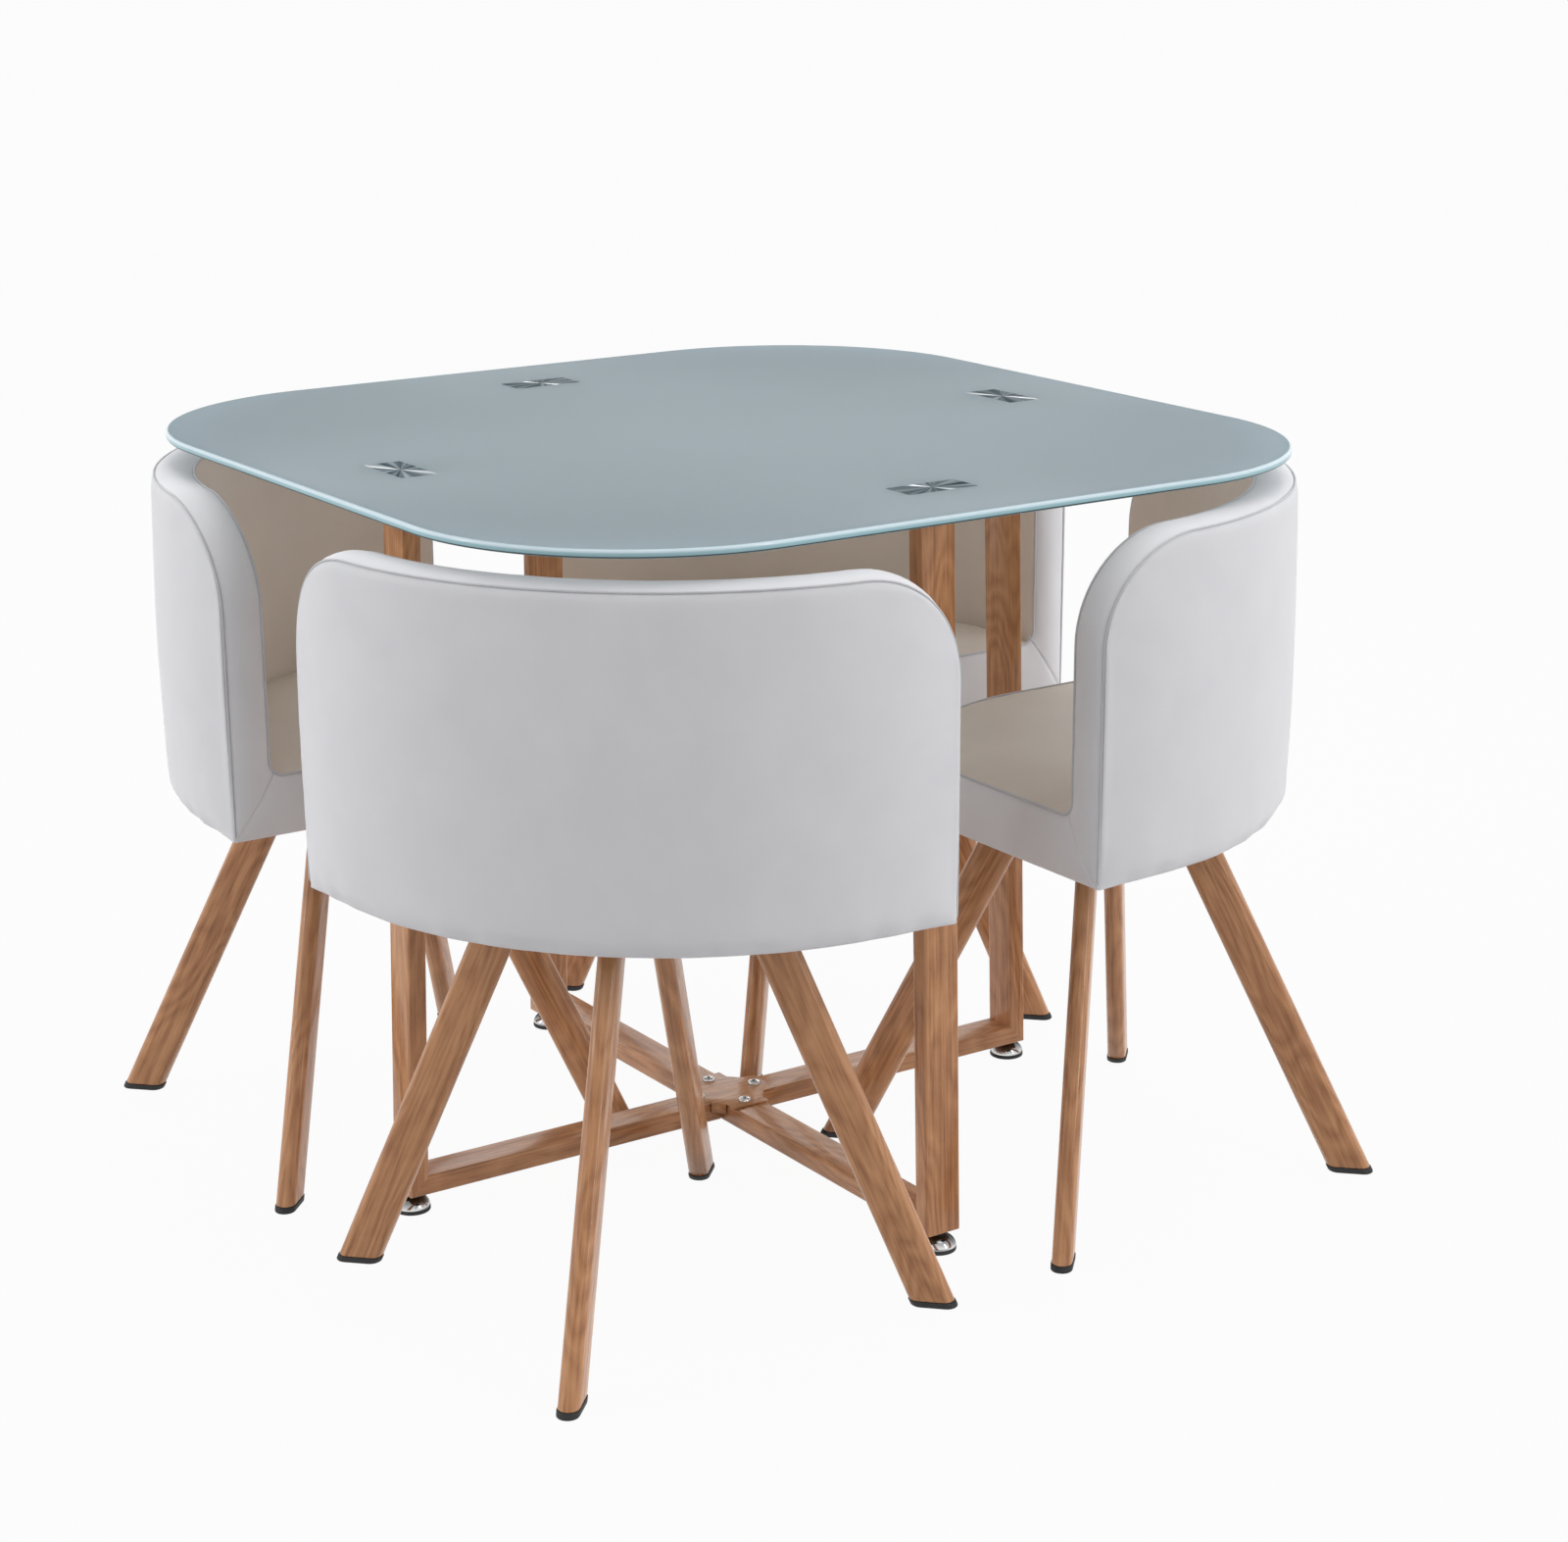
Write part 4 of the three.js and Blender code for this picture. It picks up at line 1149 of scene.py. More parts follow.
def air_push(grid, outward, most):
    """How far air pressure moves each point of a panel that is pinned along its edges."""
    rows, columns = grid.shape[:2]
    mesh = bpy.data.meshes.new("cover")
    mesh.from_pydata([tuple(p) for p in grid.reshape(-1, 3)], [], grid_faces(rows, columns))
    middle_face = mesh.polygons[len(mesh.polygons) // 2]
    if middle_face.normal.dot(Vector(outward)) < 0:
        mesh.flip_normals()
    cover = new_object("cover", mesh)
    held = np.ones((rows, columns), dtype=bool)
    held[1:-1, 1:-1] = False
    cover.vertex_groups.new(name="seam").add(np.flatnonzero(held).tolist(), 1.0, "REPLACE")
    cloth = cover.modifiers.new("cover", "CLOTH").settings
    cloth.vertex_group_mass = "seam"
    cloth.use_pressure = True
    cloth.uniform_pressure_force = AIR_PRESSURE
    cloth.shrink_min = -COVER_SLACK
    cloth.effector_weights.gravity = 0
    for step in range(1, CLOTH_FRAMES + 1):
        bpy.context.scene.frame_set(step)
    blown = cover.evaluated_get(bpy.context.evaluated_depsgraph_get())
    moved = np.empty(grid.size)
    blown.data.vertices.foreach_get("co", moved)
    bpy.context.scene.frame_set(1)
    bpy.data.objects.remove(cover)
    push = moved.reshape(grid.shape) - grid
    length = np.maximum(np.linalg.norm(push, axis=-1, keepdims=True), NO_LENGTH)
    print("air pushes the cover by up to %.1f mm" % (1000 * length.max()))
    return push * most * np.tanh(length / most) / length


def carried(push, even_u, even_v, u, v):
    """The push of the even grid, carried to the rows and columns of a finer one."""
    rows = np.array([[np.interp(u, even_u, row[:, axis]) for axis in range(3)] for row in push])
    return np.array([
        [np.interp(v, even_v, rows[:, axis, column]) for axis in range(3)] for column in range(len(u))
    ]).transpose(2, 0, 1)


print("an even grid over 0.3 m has", len(even_steps(0.3)), "rows")

# %% [markdown]
# ## Outer and inner panels of the back
# Both are the same outline in their own coordinates: distance along the arc and height. The outer
# panel is stapled under the bottom, so its lower edge rolls in. The inner one tucks down behind the
# seat. Their crowns point away from each other.

# %% Shape of the back panels
BOTTOM_ROLL, BOTTOM_ROLL_DEPTH, ROLL_END_REACH = 0.022, 0.013, 0.03
WAVE_HEIGHT, WAVE_START = 0.0007, 0.04
STAPLE_PULL, STAPLE_REACH, STAPLE_START = 0.0024, 0.028, 0.008


def back_surface(u, v, radius_at_seam, outwards, height_low, crown):
    """The panel's points before the foam pushes it, and how far along the arc each one lies."""
    left, top = corner_outline(half_length, top_seam_height, corner_radius, height_low)
    right = left * [-1, 1]
    low = np.array([[-half_length, height_low], [half_length, height_low]])
    flat = coons_patch(low, top, left, right, u, v)
    s, z = flat[..., 0], flat[..., 1]
    distance = seam_distance(s, z, half_length, top_seam_height, corner_radius)
    along = s / half_length
    height_share = (z - height_low) / (top_seam_height - height_low)
    swell = SEAM_DEPTH * pillow(distance) + crown * np.sin(math.pi * np.clip(height_share, 0, 1))
    place = np.stack([s, z, 0 * s], axis=-1)
    swell = swell + puckers(place, distance, scale=55.0, seed=3.0, height=0.0005, reach=0.014)
    swell = swell + WAVE_HEIGHT * smooth_noise(place, scale=9.0, seed=8.0) * pillow(distance, WAVE_START)
    if outwards > 0:
        up = z - height_low
        away_from_ends = 1 - np.exp(-(half_length - np.abs(s)) / ROLL_END_REACH)
        swell = swell - BOTTOM_ROLL_DEPTH * (1 - pillow(up, BOTTOM_ROLL)) * away_from_ends
        folds = smooth_noise(place * [1, 0.25, 1], scale=48.0, seed=5.0) * np.exp(-up / STAPLE_REACH)
        swell = swell + STAPLE_PULL * folds * pillow(up, STAPLE_START)
    return shell_point(along, radius_at_seam + outwards * swell, z), along


flat_steps = np.linspace(0, 1, 3)
flat_middle = back_surface(flat_steps, flat_steps, outer_seam_radius, 1, bottom, PANEL_CROWN)[0][1, 1]
print("middle of the outer panel:", flat_middle.round(3))

# %% [markdown]
# Each panel is worked out twice: on an even grid for the cloth, and on a grid that is close
# together beside the seams for the mesh that is kept. The push is carried from one to the other.

# %% Back panels
EDGE_CELLS, EDGE_CELLS_IN_HEIGHT, MIDDLE_STEP = 0.012, 0.020, 0.008


def back_panel(name, radius_at_seam, outwards, height_low, crown, push_cap, material):
    shape_values = (radius_at_seam, outwards, height_low, crown)
    height = top_seam_height - height_low
    even_u, even_v = even_steps(2 * half_length), even_steps(height)
    push = air_push(back_surface(even_u, even_v, *shape_values)[0], (outwards, 0, 0), push_cap)
    u = graded_steps(2 * half_length, EDGE_CELLS, MIDDLE_STEP)
    v = graded_steps(height, EDGE_CELLS_IN_HEIGHT, MIDDLE_STEP, edge_steps=8)
    grid, along = back_surface(u, v, *shape_values)
    grid = grid + carried(push, even_u, even_v, u, v)
    inward = np.zeros_like(grid)
    inward[..., 0] = -outwards * np.cos(along * wedge_angle(radius_at_seam))
    inward[..., 1] = -outwards * np.sin(along * wedge_angle(radius_at_seam))
    return thick_panel(name, grid, COVER_THICKNESS, inward, material)


OUTER_PUSH, INNER_PUSH = 0.003, 0.004
INNER_CROWN, TUCK_BEHIND_SEAT = 0.002, 0.012
outer_panel = back_panel(
    "outer_panel", outer_seam_radius, 1, bottom, PANEL_CROWN, OUTER_PUSH, white_leather)
inner_low = seat_seam_level - TUCK_BEHIND_SEAT
inner_panel = back_panel(
    "inner_panel", inner_seam_radius, -1, inner_low, INNER_CROWN, INNER_PUSH, cream_leather)
print("outer panel: %d faces" % len(outer_panel.data.polygons))

# %% [markdown]
# ## The rim band
# One band runs all the way round: over the back's top, down its two ends and on along the sides
# and the nose of the seat. Where it turns from an end into the seat's side it is cut and sewn on
# the diagonal. It is made as a row of straight lines across the band, each from the inner seam to
# the outer edge. The lines fan out round the turn, and the middle one of the fan is the diagonal
# seam.

# %% The seat's side plane
INNER_TURN_RADIUS = 0.016


def side_point(run, height):
    """A point of the wedge's side plane, from its distance out along the plane."""
    x, y = (run + seam_tip * ROOT_HALF) * ROOT_HALF, (run - seam_tip * ROOT_HALF) * ROOT_HALF
    return np.array([x, y, height])


def run_of(point):
    return (point[0] + point[1]) * ROOT_HALF


run_outer = run_of(shell_point(np.array(1.0), outer_seam_radius, 0.0))
run_inner = run_of(shell_point(np.array(1.0), inner_seam_radius, 0.0))
nose_radius = SEAT_NOSE_RADIUS - SEAM_INSET
turn_run, turn_height = run_inner - INNER_TURN_RADIUS, seat_seam_level + INNER_TURN_RADIUS
print("the back's end is %.0f mm wide" % (1000 * (run_outer - run_inner)))

# %% [markdown]
# Each line is kept as its inner point, its outer point and how deep the diagonal seam is there.
# The seam is only a few degrees wide, so the fan's lines crowd together near the diagonal, and
# away from it they open out.

# %% Lines across the band
DIAGONAL, SEAM_WIDTH_IN_DEGREES = 45, 1.6
FAN_DEGREES = (6, 14, 22, 30, 36, 40, 42.5, 44, 45, 46, 47.5, 50, 54, 60, 68, 76, 84, 90)


def seat_lines():
    """The lines round the seat's nose and along its side, up to the turn."""
    lines = []
    for angle in np.linspace(math.pi, 0.75 * math.pi, 26):
        x, y = nose_centre + nose_radius * math.cos(angle), nose_radius * math.sin(angle)
        lines.append((np.array([x, y, seat_seam_level]), np.array([x, y, bottom]), 0.0))
    run_start = run_of(lines[-1][0])
    for run in np.linspace(run_start, turn_run, 22)[1:]:
        lines.append((side_point(run, seat_seam_level), side_point(run, bottom), 0.0))
    return lines


def fan_lines():
    """The lines that fan out where the band turns from the seat's side up the back's end."""
    lines = []
    for degrees in FAN_DEGREES:
        angle = math.radians(degrees)
        run = turn_run + INNER_TURN_RADIUS * math.sin(angle)
        height = turn_height - INNER_TURN_RADIUS * math.cos(angle)
        if degrees <= DIAGONAL:
            outer = side_point(turn_run + (run_outer - turn_run) * degrees / DIAGONAL, bottom)
        else:
            past = degrees - DIAGONAL
            outer = side_point(run_outer, bottom + (turn_height - bottom) * past / DIAGONAL)
        seam = math.exp(-((degrees - DIAGONAL) / SEAM_WIDTH_IN_DEGREES) ** 2)
        lines.append((side_point(run, height), outer, seam))
    return lines


def back_lines():
    """The lines up the back's end, over its round corner and along the top to the middle."""
    lines = []
    for height in np.linspace(turn_height, top_seam_height - corner_radius, 18)[1:]:
        lines.append((side_point(run_inner, height), side_point(run_outer, height), 0.0))
    over_corner = []
    for bend in np.linspace(0, QUARTER_TURN, 20)[1:]:
        s = half_length - corner_radius * (1 - math.cos(bend))
        over_corner.append((s, top_seam_height - corner_radius * (1 - math.sin(bend))))
    along_top = [(s, top_seam_height) for s in np.linspace(half_length - corner_radius, 0, 32)[1:]]
    for s, height in over_corner + along_top:
        along = np.array(s / half_length)
        inner, outer = (shell_point(along, r, height) for r in (inner_seam_radius, outer_seam_radius))
        lines.append((inner, outer, 0.0))
    return lines


half_lines = seat_lines() + fan_lines() + back_lines()
mirrored = [(i * [1, -1, 1], o * [1, -1, 1], seam) for i, o, seam in half_lines[-2:0:-1]]
all_lines = half_lines + mirrored
print("lines across the band:", len(all_lines))

# %% [markdown]
# The band's surface stands square to those lines and to the band's own run, so its normal is
# their cross product. Along each line the leather rises out of one seam, crowns a little and
# drops into the other.

# %% Band mesh
BAND_EDGE_CELLS = 0.008
DIAGONAL_DEPTH, DIAGONAL_START = 0.0016, 0.006
BAND_WAVE_HEIGHT = 0.0004

inner_seam = np.array([line[0] for line in all_lines])
outer_edge = np.array([line[1] for line in all_lines])
diagonal = np.array([line[2] for line in all_lines])
middle_run = (inner_seam + outer_edge) / 2
run_direction = np.roll(middle_run, -1, axis=0) - np.roll(middle_run, 1, axis=0)
across = outer_edge - inner_seam
band_normal = np.cross(run_direction, across)
band_normal /= np.linalg.norm(band_normal, axis=1)[:, None]
if band_normal[0, 0] > 0:
    band_normal = -band_normal
line_length = np.linalg.norm(across, axis=1)


def band_grid():
    edge = BAND_EDGE_CELLS * (1 - np.cos(np.linspace(0, QUARTER_TURN, 7)))
    rows = []
    for i, length in enumerate(line_length):
        near = edge / length
        shares = np.concatenate([near, np.linspace(near[-1], 1 - near[-1], 7)[1:-1], 1 - near[::-1]])
        rows.append(inner_seam[i] + shares[:, None] * across[i])
    grid = np.array(rows)
    from_inner = np.linalg.norm(grid - inner_seam[:, None], axis=-1)
    from_outer = np.linalg.norm(grid - outer_edge[:, None], axis=-1)
    nearest = np.minimum(from_inner, from_outer)
    share = from_inner / line_length[:, None]
    rise = SEAM_DEPTH * pillow(nearest) + (SEAM_INSET - SEAM_DEPTH) * np.sin(math.pi * share)
    rise = rise - DIAGONAL_DEPTH * diagonal[:, None] * pillow(nearest, DIAGONAL_START)
    rise = rise + puckers(grid, nearest, scale=60.0, seed=11.0, height=0.0005, reach=0.012)
    rise = rise + BAND_WAVE_HEIGHT * smooth_noise(grid, scale=14.0, seed=2.0) * pillow(nearest)
    return grid + band_normal[:, None, :] * rise[..., None]


band_points = band_grid()
inward = -np.repeat(band_normal[:, None, :], band_points.shape[1], axis=1)
rim_band = thick_panel(
    "rim_band", band_points, COVER_THICKNESS, inward, band_leather_painted_light, wrap_rows=True)
print("rim band: %d faces" % len(rim_band.data.polygons))

# %% [markdown]
# ## The seat
# The seat's top panel lies inside the band and is the softest pad of the chair, so the air pushes
# it furthest. It starts from a lower crown than it ends with. At the back it tucks down behind the
# inner panel, and along the nose and the sides it meets the band in the piped seam.

# %% Seat panel
SEAT_CROWN, SEAT_CROWN_REACH, SEAT_PUSH = 0.00875, 0.05, 0.006
SEAT_TUCK, SEAT_TUCK_REACH, GAP_TO_BACK = 0.006, 0.014, 0.001
SEAT_COVER_THICKNESS, SEAT_EDGE_CELLS = 0.006, 0.010
SEAT_LENGTH, SEAT_DEPTH = 0.5, 0.32


def seat_distance(x, y):
    """Distance from the seam along the nose and the sides."""
    from_side = (x - np.abs(y) - seam_tip) * ROOT_HALF
    from_centre = np.hypot(x - nose_centre, y)
    in_nose = (nose_centre - x) > np.abs(y)
    return np.where(in_nose, nose_radius - from_centre, from_side)


def seat_surface(u, v):
    bend = np.linspace(1.25 * math.pi, 0.75 * math.pi, 40)
    nose = np.stack([nose_centre + nose_radius * np.cos(bend), nose_radius * np.sin(bend)], axis=-1)
    back_radius = inner_seam_radius - GAP_TO_BACK
    along = np.linspace(-1, 1, 60)
    arc = shell_point(along, back_radius, 0.0)[:, :2]
    left, right = np.array([nose[0], arc[0]]), np.array([nose[-1], arc[-1]])
    flat = coons_patch(nose, arc, left, right, u, v)
    x, y = flat[..., 0], flat[..., 1]
    from_seam = np.maximum(seat_distance(x, y), 0)
    from_back = np.maximum(back_radius - np.hypot(x - arc_centre, y), 0)
    swell = (1 - np.exp(-from_seam / SEAT_CROWN_REACH)) * (1 - np.exp(-from_back / SEAT_CROWN_REACH))
    tuck = SEAT_TUCK * (1 - pillow(from_back, SEAT_TUCK_REACH))
    rise = SEAM_DEPTH * pillow(from_seam) - tuck + SEAT_CROWN * swell
    place = np.stack([x, y, 0 * x], axis=-1)
    rise = rise + puckers(place, from_seam, scale=50.0, seed=21.0, height=0.0006, reach=0.014)
    return np.stack([x, y, seat_seam_level + rise], axis=-1)


even_u, even_v = even_steps(SEAT_LENGTH), even_steps(SEAT_DEPTH)
seat_push = air_push(seat_surface(even_u, even_v), (0, 0, 1), SEAT_PUSH)
u, v = (graded_steps(length, SEAT_EDGE_CELLS, MIDDLE_STEP) for length in (SEAT_LENGTH, SEAT_DEPTH))
seat_points = seat_surface(u, v) + carried(seat_push, even_u, even_v, u, v)
down = np.zeros_like(seat_points)
down[..., 2] = -1
seat_panel = thick_panel("seat_panel", seat_points, SEAT_COVER_THICKNESS, down, cream_leather)
print("seat panel: %d faces" % len(seat_panel.data.polygons))

# %% [markdown]
# ## Piping
# Every seam holds a thin welt: a cord wrapped in the same leather. A tube is swept along the seam
# line, lifted half out of the groove. Its frame is carried along from point to point, so that it
# never twists.

# %% Piping
INNER_PIPING_RADIUS, OUTER_PIPING_RADIUS = 0.0013, 0.0010
PIPING_LIFT, PIPING_END = 0.0012, 0.006
SLANTED = np.array([0.3, 0.2, 0.9])


def swept_bead(name, path, radius, closed, material, sides=10):
    path = np.asarray(path)
    if closed:
        tangent = np.roll(path, -1, axis=0) - np.roll(path, 1, axis=0)
    else:
        tangent = np.gradient(path, axis=0)
    tangent /= np.linalg.norm(tangent, axis=1)[:, None]
    side = np.cross(tangent[0], SLANTED)
    rings = []
    for centre, forward in zip(path, tangent):
        side = side - forward * np.dot(side, forward)
        side /= np.linalg.norm(side)
        other = np.cross(forward, side)
        rings.append([centre + radius * (x * side + y * other) for x, y, _ in circle(1, 0, sides)])
    points, faces = swept_tube(rings, closed=closed)
    return build_piece(name, points, faces, material)


towards_inside = -across / line_length[:, None]
inner_lift = band_normal + towards_inside
inner_lift /= np.linalg.norm(inner_lift, axis=1)[:, None]
inner_path = inner_seam + PIPING_LIFT * inner_lift
# The welt's darker leather is painted shade of the seam's groove.
inner_piping = swept_bead("inner_piping", inner_path, INNER_PIPING_RADIUS, True, piping_painted_shade_material)

diagonal_lines = np.flatnonzero(diagonal == 1.0)
first, last = diagonal_lines[0], diagonal_lines[-1]
outer_lift = band_normal - towards_inside
outer_lift /= np.linalg.norm(outer_lift, axis=1)[:, None]
above_hem = [i for i in range(first, last + 1) if outer_edge[i][2] > bottom + PIPING_END]
outer_path = (outer_edge + PIPING_LIFT * outer_lift)[above_hem]
outer_path = np.concatenate([outer_edge[above_hem[:1]], outer_path, outer_edge[above_hem[-1:]]])
outer_path[[0, -1], 2] -= PIPING_END / 2
outer_piping = swept_bead("outer_piping", outer_path, OUTER_PIPING_RADIUS, False, piping_painted_shade_material)
print("piping: %d and %d rings" % (len(inner_path), len(outer_path)))

# %% [markdown]
# ## Under the seat
# A board closes the upholstery from below, covered with black dust cloth. The photograph is taken
# from above and doesn't show it, but whoever lifts the chair sees it. The cloth is a plain fine
# weave, which a wave texture gives.

# %% Dust cloth
def dust_cloth():
    material, graph = new_material("dust_cloth")
    place = graph.place()
    weave = graph.add("TexWave", {"Vector": place, "Scale": 420.0, "Distortion": 1.5}).outputs["Fac"]
    colour = graph.ramp(weave, [(0.2, (0.012, 0.012, 0.013)), (0.8, (0.035, 0.035, 0.037))])
    cloth = graph.add("BsdfPrincipled", {
        "Base Color": colour, "Roughness": 0.9, "Normal": graph.relief(weave, 0.3),
    })
    finish_material(graph, cloth.outputs[0])
    return material


cloth_material = dust_cloth()
print("dust cloth nodes:", len(cloth_material.node_tree.nodes))

# %% [markdown]
# The board follows the wedge and the arc of the seat. Its lower edge is eased, and above it the
# skin draws out to the upholstery, so that no gap shows between the two from below.

# %% Base board
BOARD_INSET, BOARD_EASE, BOARD_THICKNESS = 0.019, 0.001, 0.006
COVER_INSET, BOARD_TOP = 0.006, 0.010


def board_outline(inset):
    bend = np.linspace(1.25 * math.pi, 0.75 * math.pi, 30)
    radius = nose_radius - inset
    nose = [(nose_centre + radius * math.cos(a), radius * math.sin(a)) for a in bend]
    arc_radius = outer_seam_radius - inset
    reach = wedge_angle(arc_radius, inset)
    sweep = np.linspace(reach, -reach, 60)
    arc = [(arc_centre + arc_radius * math.cos(a), arc_radius * math.sin(a)) for a in sweep]
    return nose + arc


board_rows = [
    (BOARD_INSET + 2 * BOARD_EASE, 0.1 * BOARD_EASE), (BOARD_INSET + BOARD_EASE, 0.6 * BOARD_EASE),
    (BOARD_INSET, BOARD_THICKNESS), (COVER_INSET, BOARD_THICKNESS + BOARD_EASE),
    (COVER_INSET, BOARD_TOP),
]
board_rings = []
for inset, height in board_rows:
    board_rings.append([(x, y, bottom + height) for x, y in board_outline(inset)])
points, faces = swept_tube(board_rings)
base_board = build_piece("base_board", points, faces, cloth_material)
print("base board: %d faces" % len(base_board.data.polygons))

# %% [markdown]
# ## Chair legs
# Four legs of flat-oval tube lean out from flanges under the seat, and stand on rubber caps. The
# tube is cut level at both ends, so a level slice of it is the same oval, only stretched by the
# lean. That makes the mesh a stack of level ovals.

# %% Level slices of a leaning tube
OVAL_LENGTH, OVAL_WIDTH = 0.040, 0.020
FLANGE_THICKNESS = 0.003
leg_low, leg_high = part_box("right_chair_outer_leg")
flange_underside = leg_high.z - FLANGE_THICKNESS


def oval(length, width, segments=12):
    outline = []
    radius = width / 2
    for side in (1, -1):
        for i in range(segments + 1):
            angle = (i / segments - 0.5) * math.pi
            x, y = length / 2 - radius + radius * math.cos(angle), radius * math.sin(angle)
            outline.append((side * x, side * y))
    return outline


def lean(foot_spread, top_spread):
    """How far the leg leans out for each metre up, and how much that stretches a level slice."""
    slope = (foot_spread - top_spread) / flange_underside
    return slope, math.hypot(1, slope)


def leaning_ring(foot_spread, top_spread, height, inset):
    slope, stretch = lean(foot_spread, top_spread)
    centre = foot_spread - slope * height
    outline = oval((OVAL_LENGTH - 2 * inset) * stretch, OVAL_WIDTH - 2 * inset)
    return [(centre + x, y, height) for x, y in outline]


print("points of a slice:", len(leaning_ring(0, 0, 0, 0)))

# %% [markdown]
# A leg is a plain stack of slices. The cap has its rounded foot below, a lip a little wider than
# the tube, and a plug that is pushed up into it.

# %% Legs and caps
LEG_END_BEVEL = 0.0004
CAP_LIP, CAP_ROUNDING, CAP_TOP_BEVEL = 0.0008, 0.0015, 0.0004
PLUG_INSET, PLUG_HEIGHT = 0.002, 0.010
cap_top = leg_low.z - SEATING_GAP


def chair_leg(name, foot_spread, top_spread, number):
    rows = [(LEG_END_BEVEL, leg_low.z), (0, leg_low.z + LEG_END_BEVEL)]
    rows += [(0, height) for height in np.linspace(leg_low.z, flange_underside, 6)[1:]]
    rings = [leaning_ring(foot_spread, top_spread, height, inset) for inset, height in rows]
    points, faces = swept_tube(rings)
    slope, stretch = lean(foot_spread, top_spread)
    offset = trunk_offset(number)
    grain = [Vector((x - foot_spread + slope * z, y, z * stretch)) + offset for x, y, z in points]
    piece = build_piece(name, points, faces, film_material, sharp_degrees=35)
    write_grain(piece, grain)
    return piece


def leg_cap(name, foot_spread, top_spread):
    rows = []
    for bend in np.linspace(0, QUARTER_TURN, 4):
        inset = CAP_ROUNDING * (1 - math.sin(bend)) - CAP_LIP
        rows.append((inset, CAP_ROUNDING * (1 - math.cos(bend))))
    rows += [(-CAP_LIP, cap_top - CAP_TOP_BEVEL), (CAP_TOP_BEVEL - CAP_LIP, cap_top)]
    rows += [(PLUG_INSET, cap_top), (PLUG_INSET, cap_top + PLUG_HEIGHT)]
    rings = [leaning_ring(foot_spread, top_spread, height, inset) for inset, height in rows]
    points, faces = swept_tube(rings)
    return build_piece(name, points, faces, rubber_material)


print("caps are %.1f mm high outside the tube" % (1000 * cap_top))

# %% [markdown]
# The flange is welded to the leg's top and held by two screws, which are driven up into the
# board. They are the screws of the centre plate, smaller and upside down.

# %% Flanges
FLANGE_HALF_LENGTH, FLANGE_HALF_WIDTH, FLANGE_CORNER_RADIUS = 0.042, 0.022, 0.008
FLANGE_TOP_GAP, FLANGE_BEVEL, FLANGE_SCREW_REACH = 0.0002, 0.0005, 0.033
FLANGE_SCREW = {"radius": 0.004, "height": 0.0022, "shank_radius": 0.002, "shank_length": 0.008}


def flange_plate(name, top_spread, number):
    flange = bevelled_plate(
        name, FLANGE_HALF_LENGTH, FLANGE_HALF_WIDTH, FLANGE_CORNER_RADIUS,
        flange_underside, leg_high.z - FLANGE_TOP_GAP, FLANGE_BEVEL, film_material,
    )
    offset = trunk_offset(number)
    write_grain(flange, [Vector((v.co.y, v.co.z, v.co.x)) + offset for v in flange.data.vertices])
    flange.data.transform(Matrix.Translation((top_spread, 0, 0)))
    return flange


def flange_screw(name, reach):
    screw = pan_head_screw(name, steel_material, **FLANGE_SCREW)
    screw.data.transform(Matrix.Rotation(math.pi, 4, "X"))
    screw.data.transform(Matrix.Translation((reach, 0, flange_underside)))
    return screw


print("flanges are %.0f mm long" % (2000 * FLANGE_HALF_LENGTH))

# %% [markdown]
# The outer and the inner leg stand in line with the table's middle, and the other two to the
# sides, where they lean out a little more. Each set is made on the X axis and turned to its side.

# %% Four legs under a seat
LEG_CENTRE = 0.391
LEG_SIDES = ["outer", "left", "inner", "right"]
IN_LINE_SPREADS, SIDEWAYS_SPREADS = (0.267, 0.078), (0.282, 0.116)
FIRST_LEG_NUMBER, FIRST_FLANGE_NUMBER = 9, 20

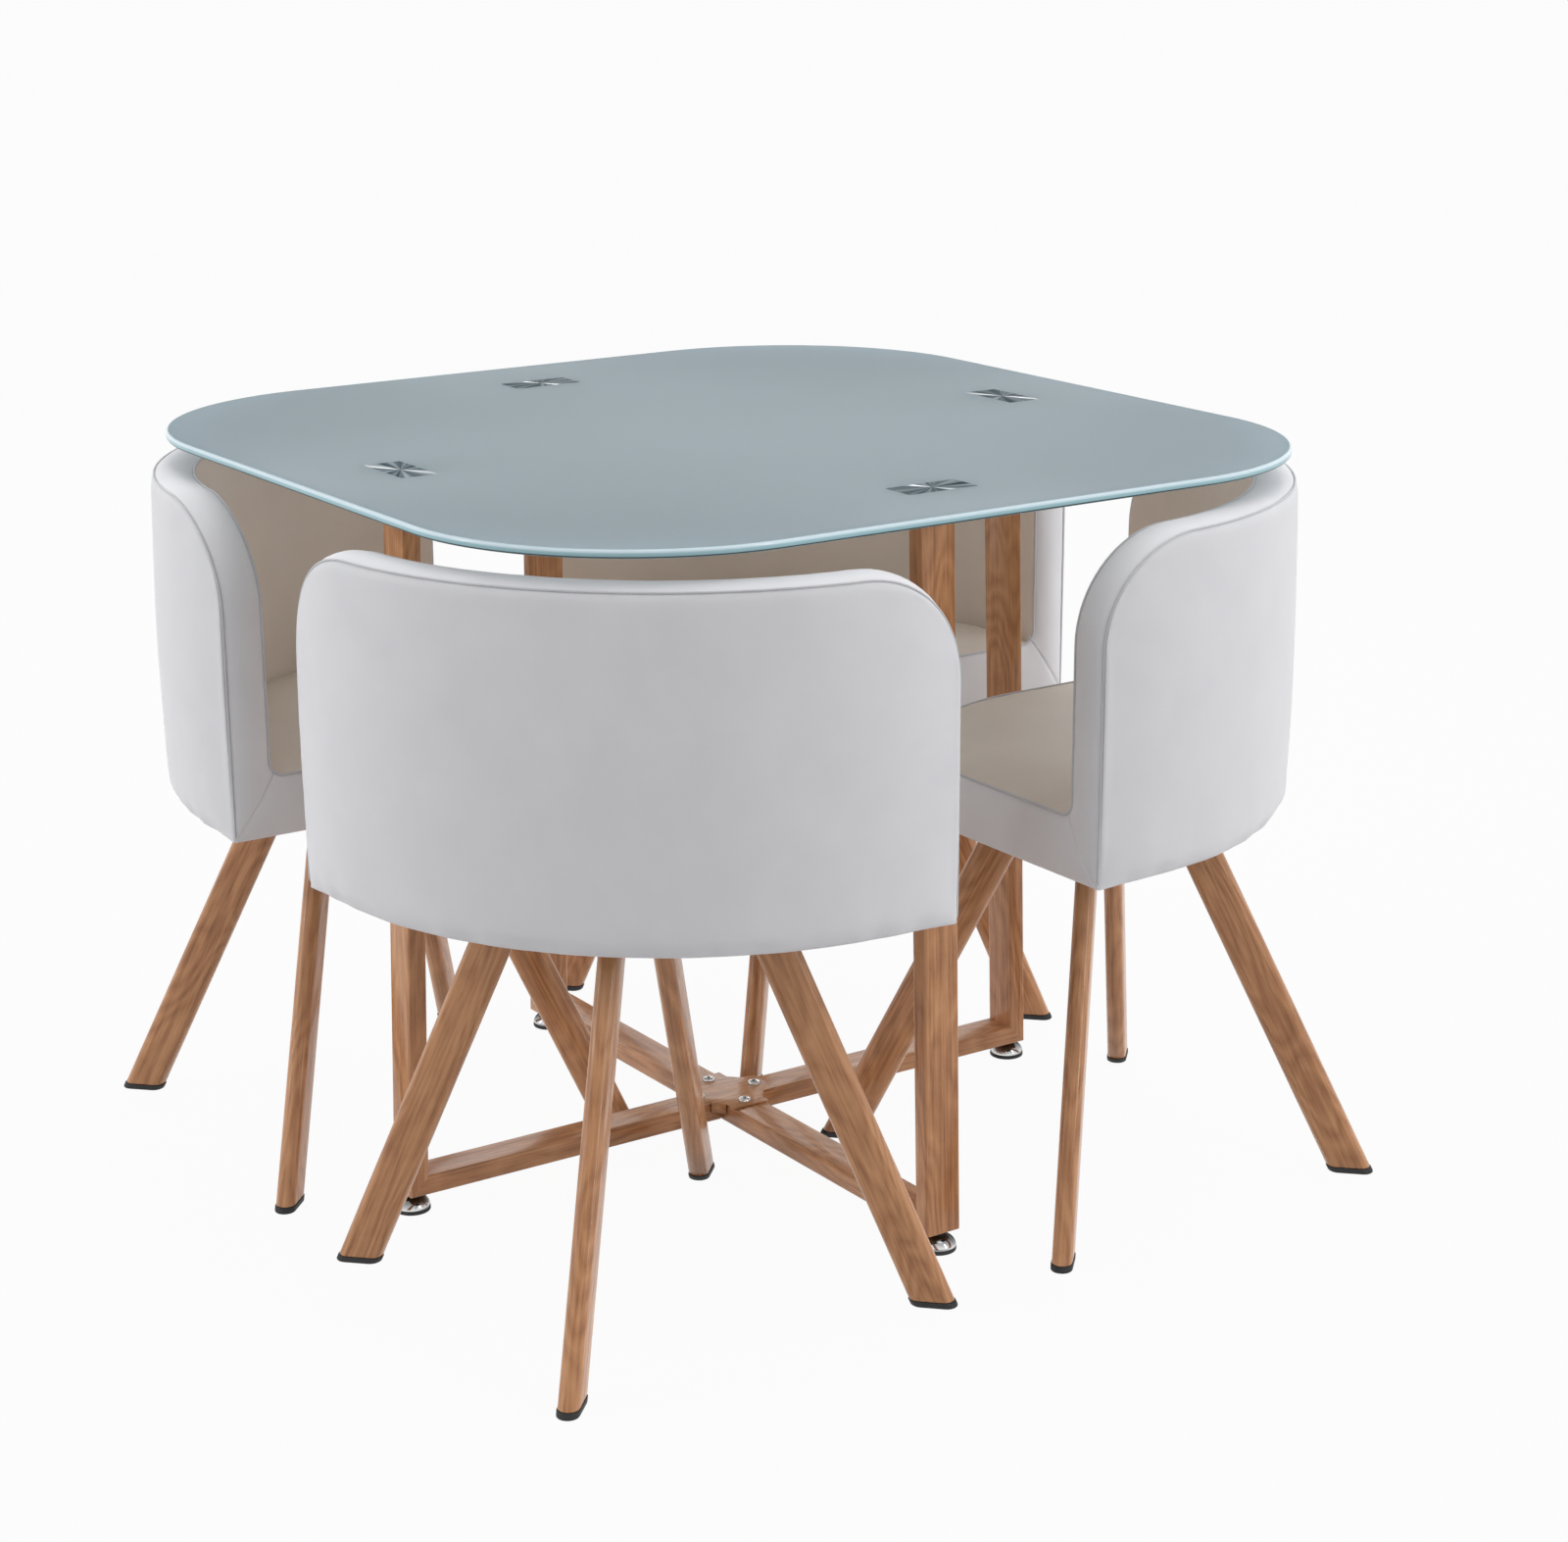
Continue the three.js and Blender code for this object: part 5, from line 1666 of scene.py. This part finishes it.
leg_pieces = []
for number, side in enumerate(LEG_SIDES):
    foot_spread, top_spread = (IN_LINE_SPREADS, SIDEWAYS_SPREADS)[number % 2]
    leg = chair_leg(f"{side}_leg", foot_spread, top_spread, FIRST_LEG_NUMBER + number)
    cap = leg_cap(f"{side}_cap", foot_spread, top_spread)
    flange = flange_plate(f"{side}_flange", top_spread, FIRST_FLANGE_NUMBER + number)
    screw_in = flange_screw(f"{side}_flange_screw_in", top_spread - FLANGE_SCREW_REACH)
    screw_out = flange_screw(f"{side}_flange_screw_out", top_spread + FLANGE_SCREW_REACH)
    to_its_side = Matrix.Translation((LEG_CENTRE, 0, 0)) @ Matrix.Rotation(number * QUARTER_TURN, 4, "Z")
    kinds = ("leg", "cap", "flange", "screw", "screw")
    for piece, kind in zip((leg, cap, flange, screw_in, screw_out), kinds):
        piece.data.transform(to_its_side)
        leg_pieces.append((piece, side, kind))
print("pieces under the seat:", len(leg_pieces))

# %% [markdown]
# ## Four chairs
# The one chair is copied to its four places. The copies share their meshes, so the file stays
# small, and each copy is turned about the middle of the table and rides on its own chair.

# %% Copy the chair round the table
CHAIRS = ["right_chair", "back_chair", "left_chair", "front_chair"]
cover_pieces = [
    (outer_panel, "backrest", "white_leather"), (inner_panel, "backrest", "white_leather"),
    (rim_band, "seat", "white_leather"), (seat_panel, "seat", "white_leather"),
    (inner_piping, None, "white_leather"), (outer_piping, None, "white_leather"),
    (base_board, None, None),
]


def copy_to_chair(pattern, chair, turn):
    piece = new_object(f"{chair}_{pattern.name}_look", pattern.data)
    place_and_ride(piece, chair, turn)
    return piece


for index, chair in enumerate(CHAIRS):
    turn = index * QUARTER_TURN
    for pattern, node, slot in cover_pieces:
        piece = copy_to_chair(pattern, chair, turn)
        if node:
            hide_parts(f"{chair}_{node}")
    for pattern, side, kind in leg_pieces:
        piece = copy_to_chair(pattern, chair, turn)
        if kind in ("leg", "cap"):
            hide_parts(f"{chair}_{side}_{kind}")
for pattern, *_ in cover_pieces + leg_pieces:
    bpy.data.objects.remove(pattern)
